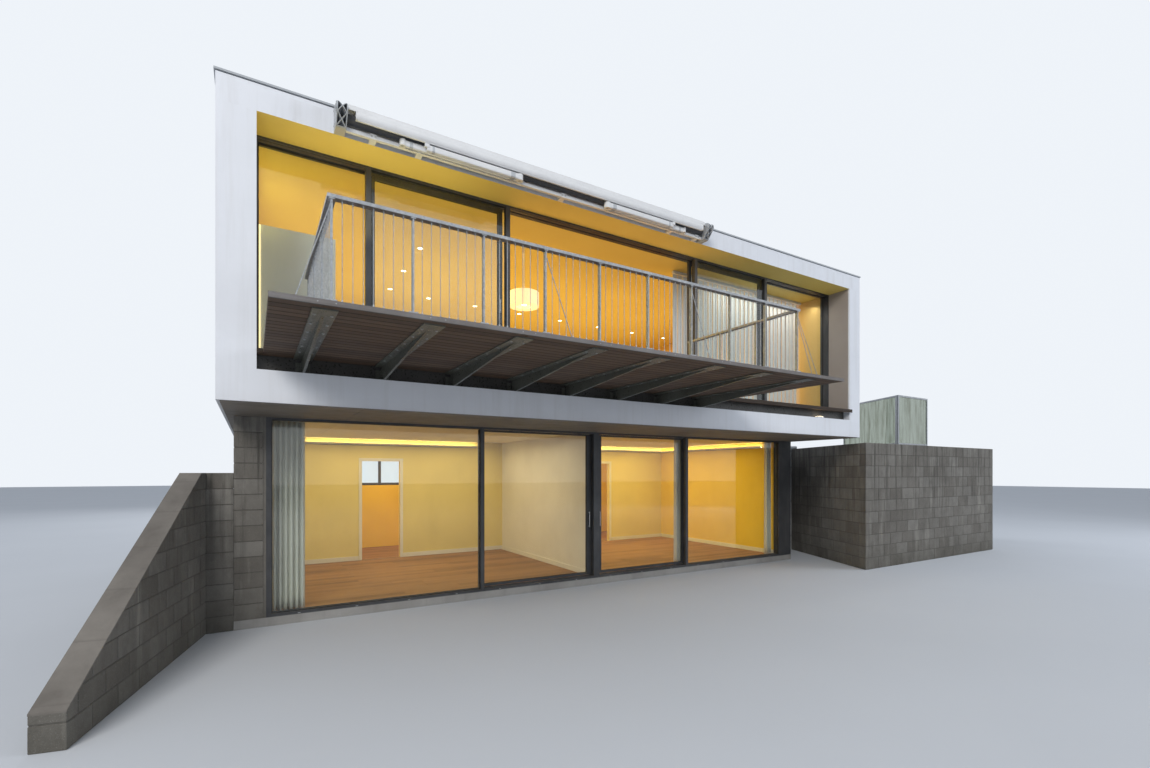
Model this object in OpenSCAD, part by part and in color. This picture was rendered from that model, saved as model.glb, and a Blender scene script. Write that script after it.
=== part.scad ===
/* [House] */
// Width of the upper storey over its side walls
house_w = 10600; // [9800:100:11600]
// Depth of the house from the front plane to the rear face
house_d = 7600; // [7000:100:8600]
// Thickness of the upper storey's side walls
wall_t = 340; // [280:10:400]
// Thickness of the rear walls
rear_wall_t = 200; // [150:10:260]
// Height of the overhang's underside above the ground
soffit_h = 2610; // [2500:10:2800]
// Height of the white band that holds the upper floor
band_h = 325; // [280:5:360]
// Height from the white band to the ceiling of the upper storey
opening_h = 2555; // [2400:5:2800]
// Thickness of the roof below its parapet
roof_t = 230; // [180:5:300]
// Setback of the lower storey behind the front plane
setback = 1500; // [1300:50:1800]
// Thickness of the ground floor slab
slab_t = 110; // [80:5:160]
// Thickness of the lining under the overhang
lining_t = 12; // [8:1:20]
// Thickness of the lower storey's side walls
block_t = 340; // [290:10:400]
// Inset of the lower side walls from the upper walls
block_inset = 110; // [60:10:200]
// Thickness of the inner partitions
partition_t = 100; // [70:5:140]

/* [Roof edge] */
// Height of the parapet upstand above the roof
parapet_h = 50; // [30:5:90]
// Width of the parapet upstand
parapet_w = 120; // [90:10:200]
// Height of the shadow gap under the capping
shadow_gap = 10; // [6:1:16]
// Thickness of the metal capping
capping_t = 20; // [10:1:40]
// Thickness of the roof membrane
membrane_t = 8; // [4:1:14]
// Overhang of the capping past the wall
capping_lip = 14; // [8:1:25]

/* [Upper glazing] */
// Setback of the upper glazing behind the front plane
glazing_setback = 440; // [380:10:540]
// Depth of the upper mullions
frame_d = 70; // [50:5:90]
// Width of the upper mullions
mullion_w = 60; // [44:2:80]
// Height of the head rail of the upper frame
head_h = 24; // [20:1:50]
// Height of the sill rail of the upper frame
sill_h = 36; // [24:2:60]
// Width of the leaf stiles of the upper doors
leaf_w = 62; // [46:2:80]
// Thickness of the door leaves
leaf_t = 40; // [30:2:46]
// Thickness of the window glass
glass_t = 10; // [6:1:16]

/* [Lower glazing] */
// Depth of the lower window frame with its two tracks
track_d = 140; // [136:2:160]
// Width of the lower jambs and mullions
lower_mullion_w = 60; // [44:2:76]
// Width of the centre post
centre_post_w = 120; // [80:2:140]
// Distance of the centre post to the right of the house's middle
glazing_shift = 58; // [0:2:80]
// Distance of the door mullions from the centre post
door_bay = 2068; // [1950:2:2120]
// Width of the door stiles
stile_w = 86; // [60:2:100]
// Height of the door's bottom rail
bottom_rail_h = 36; // [30:2:80]
// Running clearance round the sliding doors
door_gap = 6; // [5:0.5:8]

/* [Balcony] */
// Width of the balcony deck
deck_w = 6515; // [6300:5:6800]
// Projection of the balcony in front of the house
deck_out = 2000; // [1800:50:2300]
// Gap between the deck and the left wall
deck_side_gap = 55; // [30:5:100]
// Thickness of the deck boards
deck_t = 38; // [28:1:50]
// Height of the deck boards above the white band
deck_rise = 200; // [170:5:230]
// Number of steel outriggers
outrigger_n = 8; // [6:1:8]
// Spacing of the outriggers
outrigger_pitch = 798; // [700:2:820]
// Width of the outrigger flange
flange_w = 175; // [120:5:220]
// Thickness of the outrigger flange
flange_t = 12; // [8:1:16]
// Thickness of the outrigger web
web_t = 24; // [12:1:40]

/* [Balustrade] */
// Height of the handrail above the deck
rail_h = 765; // [700:5:1000]
// Number of front bays between posts
post_bays = 9; // [8:1:9]
// Number of thin rods in each bay
rods_per_bay = 7; // [5:1:8]
// Diameter of the thin rods
rod_d = 6; // [5:0.5:8]
// Width of the flat handrail
rail_w = 62; // [50:2:80]
// Thickness of the handrail
rail_t = 26; // [16:1:36]

/* [Awning] */
// Length of the folded awning
awning_w = 5290; // [5000:10:5500]
// Place of the awning's left end, measured from the left wall
awning_start = 1040; // [900:10:1200]
// Length of one half of a folding arm
arm_l = 1400; // [1200:10:1600]
// Diameter of the rolled fabric
roller_d = 110; // [80:2:116]
// Height of the oval folding arms
arm_h = 76; // [56:2:76]

/* [Terrace] */
// Length of the terrace along the front
terrace_w = 5500; // [4500:50:6000]
// Height of the block terrace
terrace_h = 2500; // [2400:10:2560]
// Depth of the terrace from front to back
terrace_d = 3400; // [2800:50:3800]
// Skew of the terrace's sides from the house
terrace_skew = 25; // [18:1:30]
// Thickness of the block walls
terrace_wall_t = 190; // [150:10:240]
// Thickness of the terrace slab
terrace_slab_t = 120; // [90:5:160]
// Height of the glass screen
screen_h = 1040; // [900:10:1200]
// Length of the glass screen along the front
screen_w = 1190; // [1000:10:1400]

/* [Wing wall] */
// Height of the wing wall at the house
wing_h = 1905; // [1700:5:2100]
// Length of the wing wall
wing_l = 2950; // [2500:50:3200]
// Thickness of the wing wall
wing_t = 215; // [150:5:260]
// Turn of the wing wall from the house's side
wing_turn = 13; // [8:1:18]

/* [Hidden] */
$fn = 48;
// Planes from front to back
y_front = -(setback + house_d) / 2;
y_rear = y_front + house_d;
y_low = y_front + setback;
y_up = y_front + glazing_setback;
y_back_rooms = y_front + 0.72 * house_d;
// Levels from the ground up
z_band = soffit_h + band_h;
z_deck = z_band + deck_rise;
z_joist = z_deck - deck_t;
z_ceiling = z_band + opening_h;
z_roof = z_ceiling + roof_t;
z_parapet = z_roof + parapet_h;
z_lining = soffit_h - lining_t;
z_rail = z_deck + rail_h;
// Half widths
half_w = house_w / 2;
in_w = half_w - wall_t;
low_out = half_w - block_inset;
low_in = low_out - block_t;
// Upper glazing: mullion places and the wide open bay
open_l = -0.4155 * in_w;
open_r = 0.2714 * in_w;
mullion_l = -0.7726 * in_w;
mullion_r = 0.6204 * in_w;
z_sill_top = z_deck + sill_h;
z_head = z_ceiling - head_h;
jamb_w = 16;
leaf_lap = 20;
leaf_gap = 35;
leaf_y = y_up + frame_d + leaf_gap;
pane_y = leaf_y + leaf_t / 2;
channel_w = 20;
// Lower glazing: the two tracks and the door leaves
low_sill_h = 36;
low_head_h = 26;
top_rail_h = 20;
track_rib_h = 12;
track_rib_w = 8;
z_low_sill = slab_t + low_sill_h;
z_low_head = z_lining - low_head_h;
fixed_d = 72;
seal_gap = 6;
low_jamb_in = low_in - lower_mullion_w;
door_y = y_low + fixed_d + door_gap + seal_gap;
door_in = centre_post_w / 2 + door_gap;
door_out = door_bay + lower_mullion_w / 2;
under_gap = 8;
door_z = z_low_sill + track_rib_h + under_gap;
door_top = z_low_head - door_gap;
roller_r = 16;
roller_w = 14;
seat_gap = 0.3;
handle_l = 260;
handle_up = 1000;
handle_z = slab_t + handle_up;
// Rear windows
rear_win_w = 1700;
rear_win_h = 1100;
rear_win_x = 0.47 * in_w;
rear_sill_up = 950;
low_win_w = 1100;
low_win_h = 700;
low_win_sill = 1500;
win_bar = 50;
win_frame_d = 80;
win_reveal = 40;
rear_win_y = y_rear - win_reveal;
// Doorways in the bedrooms' rear partition
doorway_w = 760;
doorway_h = 2040;
doorway_x = 2694;
// Balcony
deck_l = -in_w + deck_side_gap;
deck_r = deck_l + deck_w;
strip_lip = 60;
strip_trim = 22;
edge_t = 20;
outrigger_x = deck_l + 363;
outrigger_tip = 90;
web_start = 260;
beam_y = y_front + 120;
beam_w = 60;
bearer_w = 60;
// Balustrade
rail_in_l = 395;
rail_in_r = 918;
post_x0 = deck_l + rail_in_l;
post_x1 = deck_r - rail_in_r;
post_pitch = (post_x1 - post_x0) / post_bays;
post_w = 14;
post_d = 36;
rail_y = y_front - deck_out + 35;
return_bays = 3;
return_end = y_front - 105;
return_pitch = (return_end - rail_y) / return_bays;
stay_d = 8;
// Post number, sideways run as a share of the post spacing, and drop below the rail of each stay
stays = [[0, -0.4, 20], [3, 0.485, 20], [6, 0.485, 20], [post_bays, 0.52, 50], [post_bays, 0.7, 22]];
base_w = 70;
base_t = 8;
// Awning
awn_l = -half_w + awning_start;
awn_r = awn_l + awning_w;
awn_bracket_w = 104;
awn_x0 = awn_l + awn_bracket_w;
awn_x1 = awn_r - awn_bracket_w;
cheek_t = 9;
roller_z = z_ceiling + 135;
hood_t = 3;
hood_r = roller_d / 2 + 41;
hood_up = 55;
hood_gap = 2;
roller_y = y_front - hood_r - hood_gap;
bar_y = y_front - 215;
bar_z = z_ceiling + 134;
bar_h = 92;
bar_inset = 80;
torsion = 40;
torsion_z = z_ceiling + 8;
torsion_y = y_front - 70;
clamp_w = 70;
clamp_lip = 8;
arm_t = 40;
arm_gap = 5;
arm_z = z_ceiling + 43;
arm_y = y_front - 145;
outer_y = arm_y - arm_t - arm_gap;
shoulder_l = awn_l + 680;
shoulder_r = awn_r - 500;
// Terrace
terrace_x = half_w + 7;
terrace_y = y_front - 119;
terrace_s = terrace_d / cos(terrace_skew);
wall_s = terrace_wall_t / cos(terrace_skew);
z_fill = terrace_h - terrace_slab_t;
screen_s = 60;
screen_in = 1250;
screen_bar = 34;
post_gap = 24;
z_screen = terrace_h + screen_h;
screen_t = 34;
screen_side_l = 1900;
pipe_d = 75;
pipe_reach = 170;
wing_toe = 260;
rake_start = 300;
return_w = 230;
pipe_back = 2880;
link_back = 3000;
// Gathered curtains of the bedrooms: middle and width of each
curtains = [[-4592, 385], [2150, 256], [4715, 170]];
curtain_y = y_low + track_d + 90;
curtain_track_h = 24;
track_w = 30;
track_end = 20;
fold_d = 70;
cloth_t = 14;
hem_gap = 18;
// Interior of the upper storey
low_wall_w = 845;
low_wall_h = 1655;
low_wall_y = y_up + 600;
slat_w = 118;
slat_t = 3;
slat_turn = 8;
slat_pitch = 122;
blind_y = y_up + 620;
blind_rail = 44;
blind_end = 50;
lamp_x = -1330;
lamp_in = 1470;
lamp_y = y_front + lamp_in;
lamp_r = 235;
lamp_h = 220;
lamp_up = 1385;
lamp_z = z_deck + lamp_up;

// A box between two opposite corners
module block(lo, hi) {
    translate(lo) cube(hi - lo);
}

// A rod from one height to another
module upright(x, y, z0, z1, d) {
    translate([x, y, z0]) cylinder(d = d, h = z1 - z0, $fn = 16);
}

// A round bar along X
module bar_x(x0, x1, y, z, d) {
    translate([x0, y, z]) rotate([0, 90, 0]) cylinder(d = d, h = x1 - x0);
}

// The plan point x along the terrace's front and s along its skewed side
function skewed(x, s) = [terrace_x + x + s * sin(terrace_skew), terrace_y + s * cos(terrace_skew)];

// A rectangular ring of bars that stands in the XZ plane
module ring(x0, x1, y0, y1, z0, z1, side, low, high) {
    block([x0, y0, z0], [x0 + side, y1, z1]);
    block([x1 - side, y0, z0], [x1, y1, z1]);
    block([x0, y0, z0], [x1, y1, z0 + low]);
    block([x0, y0, z1 - high], [x1, y1, z1]);
}

module ground_floor_slab() {
    color("silver") block([-low_out, y_low, 0], [low_out, y_rear, slab_t]);
}

module lower_left_wall() {
    color("#8a847a") block([-low_out, y_low, slab_t], [-low_in, y_rear, z_lining]);
}

module lower_right_wall() {
    color("#8a847a") block([low_in, y_low + track_d, slab_t], [low_out, y_rear, z_lining]);
}

module lower_right_end_panel() {
    color("#2b2c2e") block([low_in, y_low, slab_t], [low_out, y_low + track_d, z_lining]);
}

module lower_window_hole(x) {
    z0 = slab_t + low_win_sill;
    block([x - low_win_w / 2, y_rear - rear_wall_t - 10, z0],
        [x + low_win_w / 2, y_rear + 10, z0 + low_win_h]);
}

module lower_rear_wall() {
    color("#8a847a") difference() {
        block([-low_in, y_rear - rear_wall_t, slab_t], [low_in, y_rear, z_lining]);
        for (side = [-1, 1]) lower_window_hole(side * rear_win_x);
    }
}

// Centre, sill height, width and height of the four rear windows
rear_windows = [for (side = [-1, 1]) [side * rear_win_x, slab_t + low_win_sill, low_win_w, low_win_h],
    for (side = [-1, 1]) [side * rear_win_x, z_deck + rear_sill_up, rear_win_w, rear_win_h]];

module rear_window_frames() {
    y0 = rear_win_y - win_frame_d;
    color("#3a3b3d") for (w = rear_windows) {
        ring(w[0] - w[2] / 2, w[0] + w[2] / 2, y0, rear_win_y, w[1], w[1] + w[3], win_bar, win_bar, win_bar);
        block([w[0] - win_bar / 2, y0, w[1]], [w[0] + win_bar / 2, rear_win_y, w[1] + w[3]]);
    }
}

module rear_window_glass() {
    y = rear_win_y - win_frame_d / 2;
    color("#9fb4bd") for (w = rear_windows, side = [-1, 1]) {
        near = w[0] + side * win_bar / 2;
        far = w[0] + side * (w[2] / 2 - win_bar);
        block([min(near, far), y - glass_t / 2, w[1] + win_bar],
            [max(near, far), y + glass_t / 2, w[1] + w[3] - win_bar]);
    }
}

module bedroom_partitions() {
    color("#efe9dc") {
        block([glazing_shift - partition_t / 2, y_low + track_d, slab_t],
            [glazing_shift + partition_t / 2, y_back_rooms, z_lining]);
        difference() {
            block([-low_in, y_back_rooms, slab_t], [low_in, y_back_rooms + partition_t, z_lining]);
            for (side = [-1, 1])
                block([side * doorway_x - doorway_w / 2, y_back_rooms - 10, slab_t - 10],
                    [side * doorway_x + doorway_w / 2, y_back_rooms + partition_t + 10, slab_t + doorway_h]);
        }
    }
}

module lower_window_frame() {
    rib_y = door_y + leaf_t / 2 - track_rib_w / 2;
    half_post = centre_post_w / 2;
    half = lower_mullion_w / 2;
    color("#35373a") {
        block([-low_in, y_low, slab_t], [low_in, y_low + track_d, z_low_sill]);
        block([-low_in, y_low, z_low_head], [low_in, y_low + track_d, z_lining]);
        block([-low_jamb_in, rib_y, z_low_sill],
            [low_jamb_in, rib_y + track_rib_w, z_low_sill + track_rib_h]);
        for (x = [-low_in, low_jamb_in])
            block([x, y_low, slab_t], [x + lower_mullion_w, y_low + track_d, z_lining]);
        translate([glazing_shift, 0, 0]) {
            block([-half_post, y_low, slab_t], [half_post, y_low + track_d, z_lining]);
            for (x = [-door_bay, door_bay])
                block([x - half, y_low, slab_t], [x + half, y_low + fixed_d, z_lining]);
        }
    }
}

module lower_fixed_glass() {
    y = y_low + fixed_d / 2;
    reach = door_bay + lower_mullion_w / 2;
    spans = [[-low_jamb_in, glazing_shift - reach], [glazing_shift + reach, low_jamb_in]];
    color("#9fb4bd") for (span = spans)
        block([span[0], y - glass_t / 2, z_low_sill], [span[1], y + glass_t / 2, z_low_head]);
}

// A sliding leaf drawn on the right of the centre post, with two rollers on the track
module door_frame() {
    color("#35373a") {
        difference() {
            block([door_in, door_y, door_z], [door_out, door_y + leaf_t, door_top]);
            block([door_in + stile_w, door_y - 1, door_z + bottom_rail_h],
                [door_out - stile_w, door_y + leaf_t + 1, door_top - top_rail_h]);
        }
        for (x = [door_in + 2 * stile_w, door_out - 2 * stile_w])
            translate([x, door_y + (leaf_t + roller_w) / 2, z_low_sill + track_rib_h + seat_gap + roller_r])
                rotate([90, 0, 0]) cylinder(r = roller_r, h = roller_w);
    }
}

module door_glass() {
    y = door_y + leaf_t / 2;
    color("#9fb4bd") block([door_in + stile_w, y - glass_t / 2, door_z + bottom_rail_h],
        [door_out - stile_w, y + glass_t / 2, door_top - top_rail_h]);
}

// A pull handle on the stile next to the centre post, outside and inside
module door_handle() {
    x = door_in + stile_w / 2;
    reach = 36;
    grip = 14;
    color("#c9ccce") for (out = [-1, 1]) {
        face = out < 0 ? door_y : door_y + leaf_t;
        for (end = [-1, 1])
            translate([x, face, handle_z + end * (handle_l / 2 - grip)])
                rotate([out < 0 ? 90 : -90, 0, 0]) cylinder(d = grip, h = reach - grip / 2);
        translate([x, face + out * (reach - grip / 2), handle_z - handle_l / 2])
            cylinder(d = grip, h = handle_l);
    }
}

module on_right() {
    translate([glazing_shift, 0, 0]) children();
}

module on_left() {
    translate([glazing_shift, 0, 0]) mirror([1, 0, 0]) children();
}

module left_door_frame() {
    on_left() door_frame();
}

module left_door_glass() {
    on_left() door_glass();
}

module left_door_handle() {
    on_left() door_handle();
}

module right_door_frame() {
    on_right() door_frame();
}

module right_door_glass() {
    on_right() door_glass();
}

module right_door_handle() {
    on_right() door_handle();
}

module overhang_lining() {
    margin = 30;
    color("#6f655a") block([-half_w + margin, y_front + margin, z_lining],
        [half_w - margin, y_rear, soffit_h]);
}

module upper_floor_slab() {
    color("#e9eaec") block([-half_w, y_front, soffit_h], [half_w, y_rear, z_band]);
}

module upper_timber_floor() {
    color("#9a7148") block([-in_w, y_up, z_band], [in_w, y_rear - rear_wall_t, z_deck]);
}

module upper_left_wall() {
    color("#e9eaec") block([-half_w, y_front, z_band], [-in_w, y_rear, z_ceiling]);
}

module upper_right_wall() {
    color("#e9eaec") block([in_w, y_front, z_band], [half_w, y_rear, z_ceiling]);
}

module upper_rear_wall() {
    z0 = z_deck + rear_sill_up;
    color("#e9eaec") difference() {
        block([-in_w, y_rear - rear_wall_t, z_band], [in_w, y_rear, z_ceiling]);
        for (side = [-1, 1])
            block([side * rear_win_x - rear_win_w / 2, y_rear - rear_wall_t - 10, z0],
                [side * rear_win_x + rear_win_w / 2, y_rear + 10, z0 + rear_win_h]);
    }
}

module roof_slab() {
    color("#e9eaec") block([-half_w, y_front, z_ceiling], [half_w, y_rear, z_roof]);
}

// A rectangular ring round the roof's edge, grown outwards by grow
module roof_ring(grow, width, z0, z1) {
    difference() {
        block([-half_w - grow, y_front - grow, z0], [half_w + grow, y_rear + grow, z1]);
        block([-half_w + width, y_front + width, z0 - 1], [half_w - width, y_rear - width, z1 + 1]);
    }
}

module roof_membrane() {
    color("#85888c") block([-half_w + parapet_w, y_front + parapet_w, z_roof],
        [half_w - parapet_w, y_rear - parapet_w, z_roof + membrane_t]);
}

module roof_parapet() {
    color("#e9eaec") {
        roof_ring(0, parapet_w, z_roof, z_parapet - shadow_gap);
        roof_ring(-capping_lip, parapet_w, z_parapet - shadow_gap, z_parapet);
    }
}

module roof_capping() {
    color("#c4c8cc") roof_ring(capping_lip, parapet_w + capping_lip, z_parapet, z_parapet + capping_t);
}

// Sill, head with two grooves, slim jambs, mullions and the channels of the set-back end panes
module upper_window_frame() {
    y1 = y_up + frame_d;
    y2 = leaf_y + leaf_t + leaf_gap;
    groove_h = 12;
    half = mullion_w / 2;
    color("#35373a") {
        block([-in_w, y_up, z_deck], [in_w, y2, z_sill_top]);
        difference() {
            block([-in_w, y_up, z_head], [in_w, y2, z_ceiling]);
            for (groove = [[22, 12], [82, 30]])
                block([-in_w - 1, y_up + groove[0], z_head - 1],
                    [in_w + 1, y_up + groove[0] + groove[1], z_head + groove_h]);
        }
        for (x = [-in_w, in_w - jamb_w]) block([x, y_up, z_deck], [x + jamb_w, y2, z_ceiling]);
        for (x = [mullion_l, open_l, open_r, mullion_r])
            block([x - half, y_up, z_deck], [x + half, y1, z_ceiling]);
        for (x = [mullion_l, mullion_r])
            block([x - channel_w / 2, y_up, z_deck], [x + channel_w / 2, leaf_y + leaf_t, z_ceiling]);
    }
}

// The two upper leaves, stacked behind the panes beside the open bay
module upper_leaf_spans(inset, y0, y1, low, high) {
    shown = 40;
    spans = [[mullion_l + leaf_lap, open_l - shown], [open_r - shown - mullion_w / 2, mullion_r - leaf_lap]];
    for (s = spans)
        block([s[0] + inset, y0, z_sill_top + low], [s[1] - inset, y1, z_head - high]);
}

module upper_door_leaves() {
    color("#35373a") difference() {
        upper_leaf_spans(0, leaf_y, leaf_y + leaf_t, 0, 0);
        upper_leaf_spans(leaf_w, leaf_y - 1, leaf_y + leaf_t + 1, leaf_w, leaf_w);
    }
}

// End panes in the leaves' plane, panes beside the open bay in the front plane
module upper_glass() {
    half_t = glass_t / 2;
    half = mullion_w / 2;
    front = y_up + frame_d / 2;
    inner = channel_w / 2;
    panes = [[-in_w + jamb_w, mullion_l - inner, pane_y], [mullion_l + half, open_l - half, front],
        [open_r + half, mullion_r - half, front], [mullion_r + inner, in_w - jamb_w, pane_y]];
    color("#9fb4bd") {
        for (p = panes) block([p[0], p[2] - half_t, z_sill_top], [p[1], p[2] + half_t, z_head]);
        upper_leaf_spans(leaf_w, pane_y - half_t, pane_y + half_t, leaf_w, leaf_w);
    }
}

// A track over each gathered curtain; middle and width from the list
module bedroom_curtain_tracks() {
    color("#d9d9d6") for (c = curtains)
        block([c[0] - c[1] / 2 - track_end, curtain_y - track_w / 2, z_lining - curtain_track_h],
            [c[0] + c[1] / 2 + track_end, curtain_y + track_w / 2, z_lining]);
}

// A gathered curtain is a closed pleated slab, drawn as a wavy band
module bedroom_curtains() {
    pleat = 64;
    steps = 8;
    drop = z_lining - curtain_track_h - slab_t - hem_gap;
    color("#e8e6df") for (c = curtains) {
        n = round(c[1] / pleat) * steps;
        wave = [for (i = [0:n]) [c[0] - c[1] / 2 + i * c[1] / n, fold_d / 2 * cos(360 * i / steps)]];
        translate([0, curtain_y, slab_t + hem_gap]) linear_extrude(drop)
            polygon([for (q = wave) q - [0, cloth_t / 2], for (i = [n:-1:0]) wave[i] + [0, cloth_t / 2]]);
    }
}

module upper_low_partition() {
    color("#e6e4d2") block([-in_w, low_wall_y, z_deck],
        [-in_w + low_wall_w, low_wall_y + partition_t, z_deck + low_wall_h]);
}

module upper_blinds() {
    x0 = open_r + mullion_w / 2;
    x1 = in_w - blind_end;
    z_foot = z_deck + 15;
    z_rail_low = z_ceiling - blind_rail;
    slats = floor((x1 - x0 - slat_w) / slat_pitch);
    color("#eceff1") {
        block([x0, blind_y - blind_rail / 2, z_rail_low], [x1, blind_y + blind_rail / 2, z_ceiling]);
        for (i = [0:slats])
            translate([x0 + slat_w / 2 + i * slat_pitch, blind_y, z_foot])
                rotate(slat_turn)
                    translate([-slat_w / 2, -slat_t / 2, 0])
                        cube([slat_w, slat_t, z_rail_low - z_foot]);
    }
}

// A closed drum shade on a stem below its ceiling rose
module pendant_lamp() {
    rim = 12;
    stem_d = 12;
    rose_d = 110;
    rose_h = 25;
    color("#f6ecd0") {
        translate([lamp_x, lamp_y, lamp_z]) difference() {
            cylinder(r = lamp_r, h = lamp_h);
            translate([0, 0, -1]) cylinder(r = lamp_r - rim, h = rim + 1);
            translate([0, 0, lamp_h - rim]) cylinder(r = lamp_r - rim, h = rim + 1);
        }
        upright(lamp_x, lamp_y, lamp_z + lamp_h / 2, z_ceiling, stem_d);
        translate([lamp_x, lamp_y, z_ceiling - rose_h]) cylinder(d = rose_d, h = rose_h);
    }
}

module balcony_deck() {
    color("#6b5546") block([deck_l, y_front - deck_out + edge_t, z_joist],
        [deck_r, y_front - strip_lip, z_deck]);
}

module balcony_edge_board() {
    color("#8b8587") block([deck_l, y_front - deck_out, z_joist],
        [deck_r, y_front - deck_out + edge_t, z_deck]);
}

// The boards in front of the glazing, with a deeper edge where the deck ends
module balcony_strip() {
    y0 = y_front - strip_lip;
    color("#6b5546") {
        block([-in_w, y0, z_joist], [in_w, y_up, z_deck]);
        block([deck_r, y0, z_joist - strip_trim], [in_w, y0 + edge_t, z_joist]);
    }
}

// One T-shaped outrigger whose web deepens towards the house
module outrigger(x) {
    tip = y_front - deck_out + outrigger_tip;
    z_top = z_joist - flange_t;
    block([x - flange_w / 2, tip, z_top], [x + flange_w / 2, beam_y, z_joist]);
    translate([x - web_t / 2, 0, 0]) rotate([90, 0, 90]) linear_extrude(web_t)
        polygon([[tip + web_start - outrigger_tip, z_top + 1], [beam_y, z_top + 1],
            [beam_y, z_band], [y_front, z_band]]);
}

module balcony_outriggers() {
    color("#4c5346") for (i = [0:outrigger_n - 1]) outrigger(outrigger_x + i * outrigger_pitch);
}

module balcony_bearers() {
    color("#4c5346") {
        block([-in_w, beam_y, z_band], [in_w, beam_y + beam_w, z_joist]);
        block([-in_w, y_up - bearer_w, z_band], [in_w, y_up, z_joist]);
    }
}

// A post with its base plate
module post(x, y) {
    block([x - post_w / 2, y - post_d / 2, z_deck], [x + post_w / 2, y + post_d / 2, z_rail - rail_t + 1]);
    block([x - base_w / 2, y - base_w / 2, z_deck], [x + base_w / 2, y + base_w / 2, z_deck + base_t]);
}

// A slim stay in the plane of the front, from a post's head down to the deck
module stay(x, run, below) {
    z1 = z_rail - rail_t - below;
    len = norm([run, z1 - z_deck]) + stay_d;
    difference() {
        translate([x, rail_y, z1]) rotate([0, atan2(run, z_deck - z1), 0])
            cylinder(d = stay_d, h = len, $fn = 16);
        block([x - len, rail_y - stay_d, z_deck - len], [x + len, rail_y + stay_d, z_deck]);
    }
}

module front_balustrade() {
    rod_pitch = post_pitch / (rods_per_bay + 1);
    color("#9b9fa3") {
        block([post_x0 - rail_w / 2, rail_y - rail_w / 2, z_rail - rail_t],
            [post_x1 + rail_w / 2, rail_y + rail_w / 2, z_rail]);
        for (i = [0:post_bays]) post(post_x0 + i * post_pitch, rail_y);
        for (i = [0:post_bays - 1], k = [1:rods_per_bay])
            upright(post_x0 + i * post_pitch + k * rod_pitch, rail_y, z_deck, z_rail - rail_t + 1, rod_d);
        for (s = stays) stay(post_x0 + s[0] * post_pitch, s[1] * post_pitch, s[2]);
    }
}

// The side of the balustrade that returns to the house, at x
module return_side(x) {
    y0 = rail_y + rail_w / 2;
    rod_pitch = return_pitch / (rods_per_bay + 1);
    color("#9b9fa3") {
        block([x - rail_w / 2, y0, z_rail - rail_t], [x + rail_w / 2, return_end + post_d / 2, z_rail]);
        for (i = [1:return_bays]) post(x, rail_y + i * return_pitch);
        for (i = [0:return_bays - 1], k = [1:rods_per_bay])
            upright(x, rail_y + i * return_pitch + k * rod_pitch, z_deck, z_rail - rail_t + 1, rod_d);
    }
}

module left_balustrade() {
    return_side(post_x0);
}

module right_balustrade() {
    return_side(post_x1);
}

// The outline of a cast end bracket, seen from the side
module end_bracket_outline() {
    back_t = 2;
    nose_r = 58;
    knee_r = 46;
    hull() {
        translate([y_front - back_t, z_ceiling]) square([back_t, z_parapet - shadow_gap - z_ceiling]);
        translate([bar_y + 2, bar_z + 28]) circle(r = nose_r);
        translate([torsion_y - 60, z_ceiling + knee_r]) circle(r = knee_r);
    }
}

// The casting is open to the front between its cheeks and braced by crossed ribs
module end_bracket() {
    web_in = 60;
    rib_t = 7;
    rise = 100;
    foot = 12;
    inner_w = awn_bracket_w - 2 * cheek_t;
    difference() {
        rotate([90, 0, 90]) linear_extrude(awn_bracket_w) end_bracket_outline();
        block([cheek_t, bar_y - bar_h, z_ceiling + foot], [cheek_t + inner_w, y_front - web_in, z_parapet]);
    }
    intersection() {
        rotate([90, 0, 90]) linear_extrude(awn_bracket_w) end_bracket_outline();
        for (z = [z_ceiling + foot, z_ceiling + foot + rise], way = [-1, 1])
            translate([awn_bracket_w / 2, y_front - web_in + 1, z + rise / 2])
                rotate([90, 0, 0]) linear_extrude(-bar_y + y_front + bar_h)
                    rotate(way * atan2(rise, inner_w)) square([norm([rise, inner_w]), rib_t], center = true);
    }
}

module awning_end_brackets() {
    color("#d8dcdf") for (x = [awn_l, awn_x1]) translate([x, 0, 0]) end_bracket();
}

// Carries the arms; its clamps stand beside the two shoulders and in the middle
module awning_torsion_bar() {
    outer = 300;
    inner = 200;
    middle = 2740;
    clamps = [shoulder_l - outer, shoulder_l + inner, awn_l + middle, shoulder_r - inner, shoulder_r + outer];
    front = torsion_y - torsion;
    color("#cfc9bb") {
        block([awn_x0, front, torsion_z], [awn_x1, torsion_y, torsion_z + torsion]);
        for (x = clamps)
            block([x - clamp_w / 2, front - clamp_lip, torsion_z - clamp_lip + 1],
                [x + clamp_w / 2, y_front, torsion_z + torsion + clamp_lip]);
    }
}

module awning_roller() {
    color("#4a4d52") bar_x(awn_x0, awn_x1, roller_y, roller_z, roller_d);
}

// A curved hood over the roller, made as a half ring
module awning_hood() {
    color("#eef0f2") translate([awn_x0, roller_y, roller_z + hood_up]) rotate([90, 0, 90])
        linear_extrude(awn_x1 - awn_x0) difference() {
            circle(r = hood_r);
            circle(r = hood_r - hood_t);
            translate([-2 * hood_r, -2 * hood_r]) square([4 * hood_r, 2 * hood_r]);
        }
}

// A curved bar with a groove for the fabric in its back
module awning_front_bar() {
    face_r = 66;
    depth = 46;
    groove = 18;
    groove_in = 30;
    color("#eef0f2") translate([awn_x0 + bar_inset, bar_y, bar_z]) rotate([90, 0, 90])
        linear_extrude(awn_x1 - awn_x0 - 2 * bar_inset) difference() {
            intersection() {
                translate([face_r - depth / 2, 0]) circle(r = face_r);
                translate([-depth / 2, -bar_h / 2]) square([depth, bar_h]);
            }
            translate([depth / 2 - groove_in, -groove / 2]) square([depth, groove]);
        }
}

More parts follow.
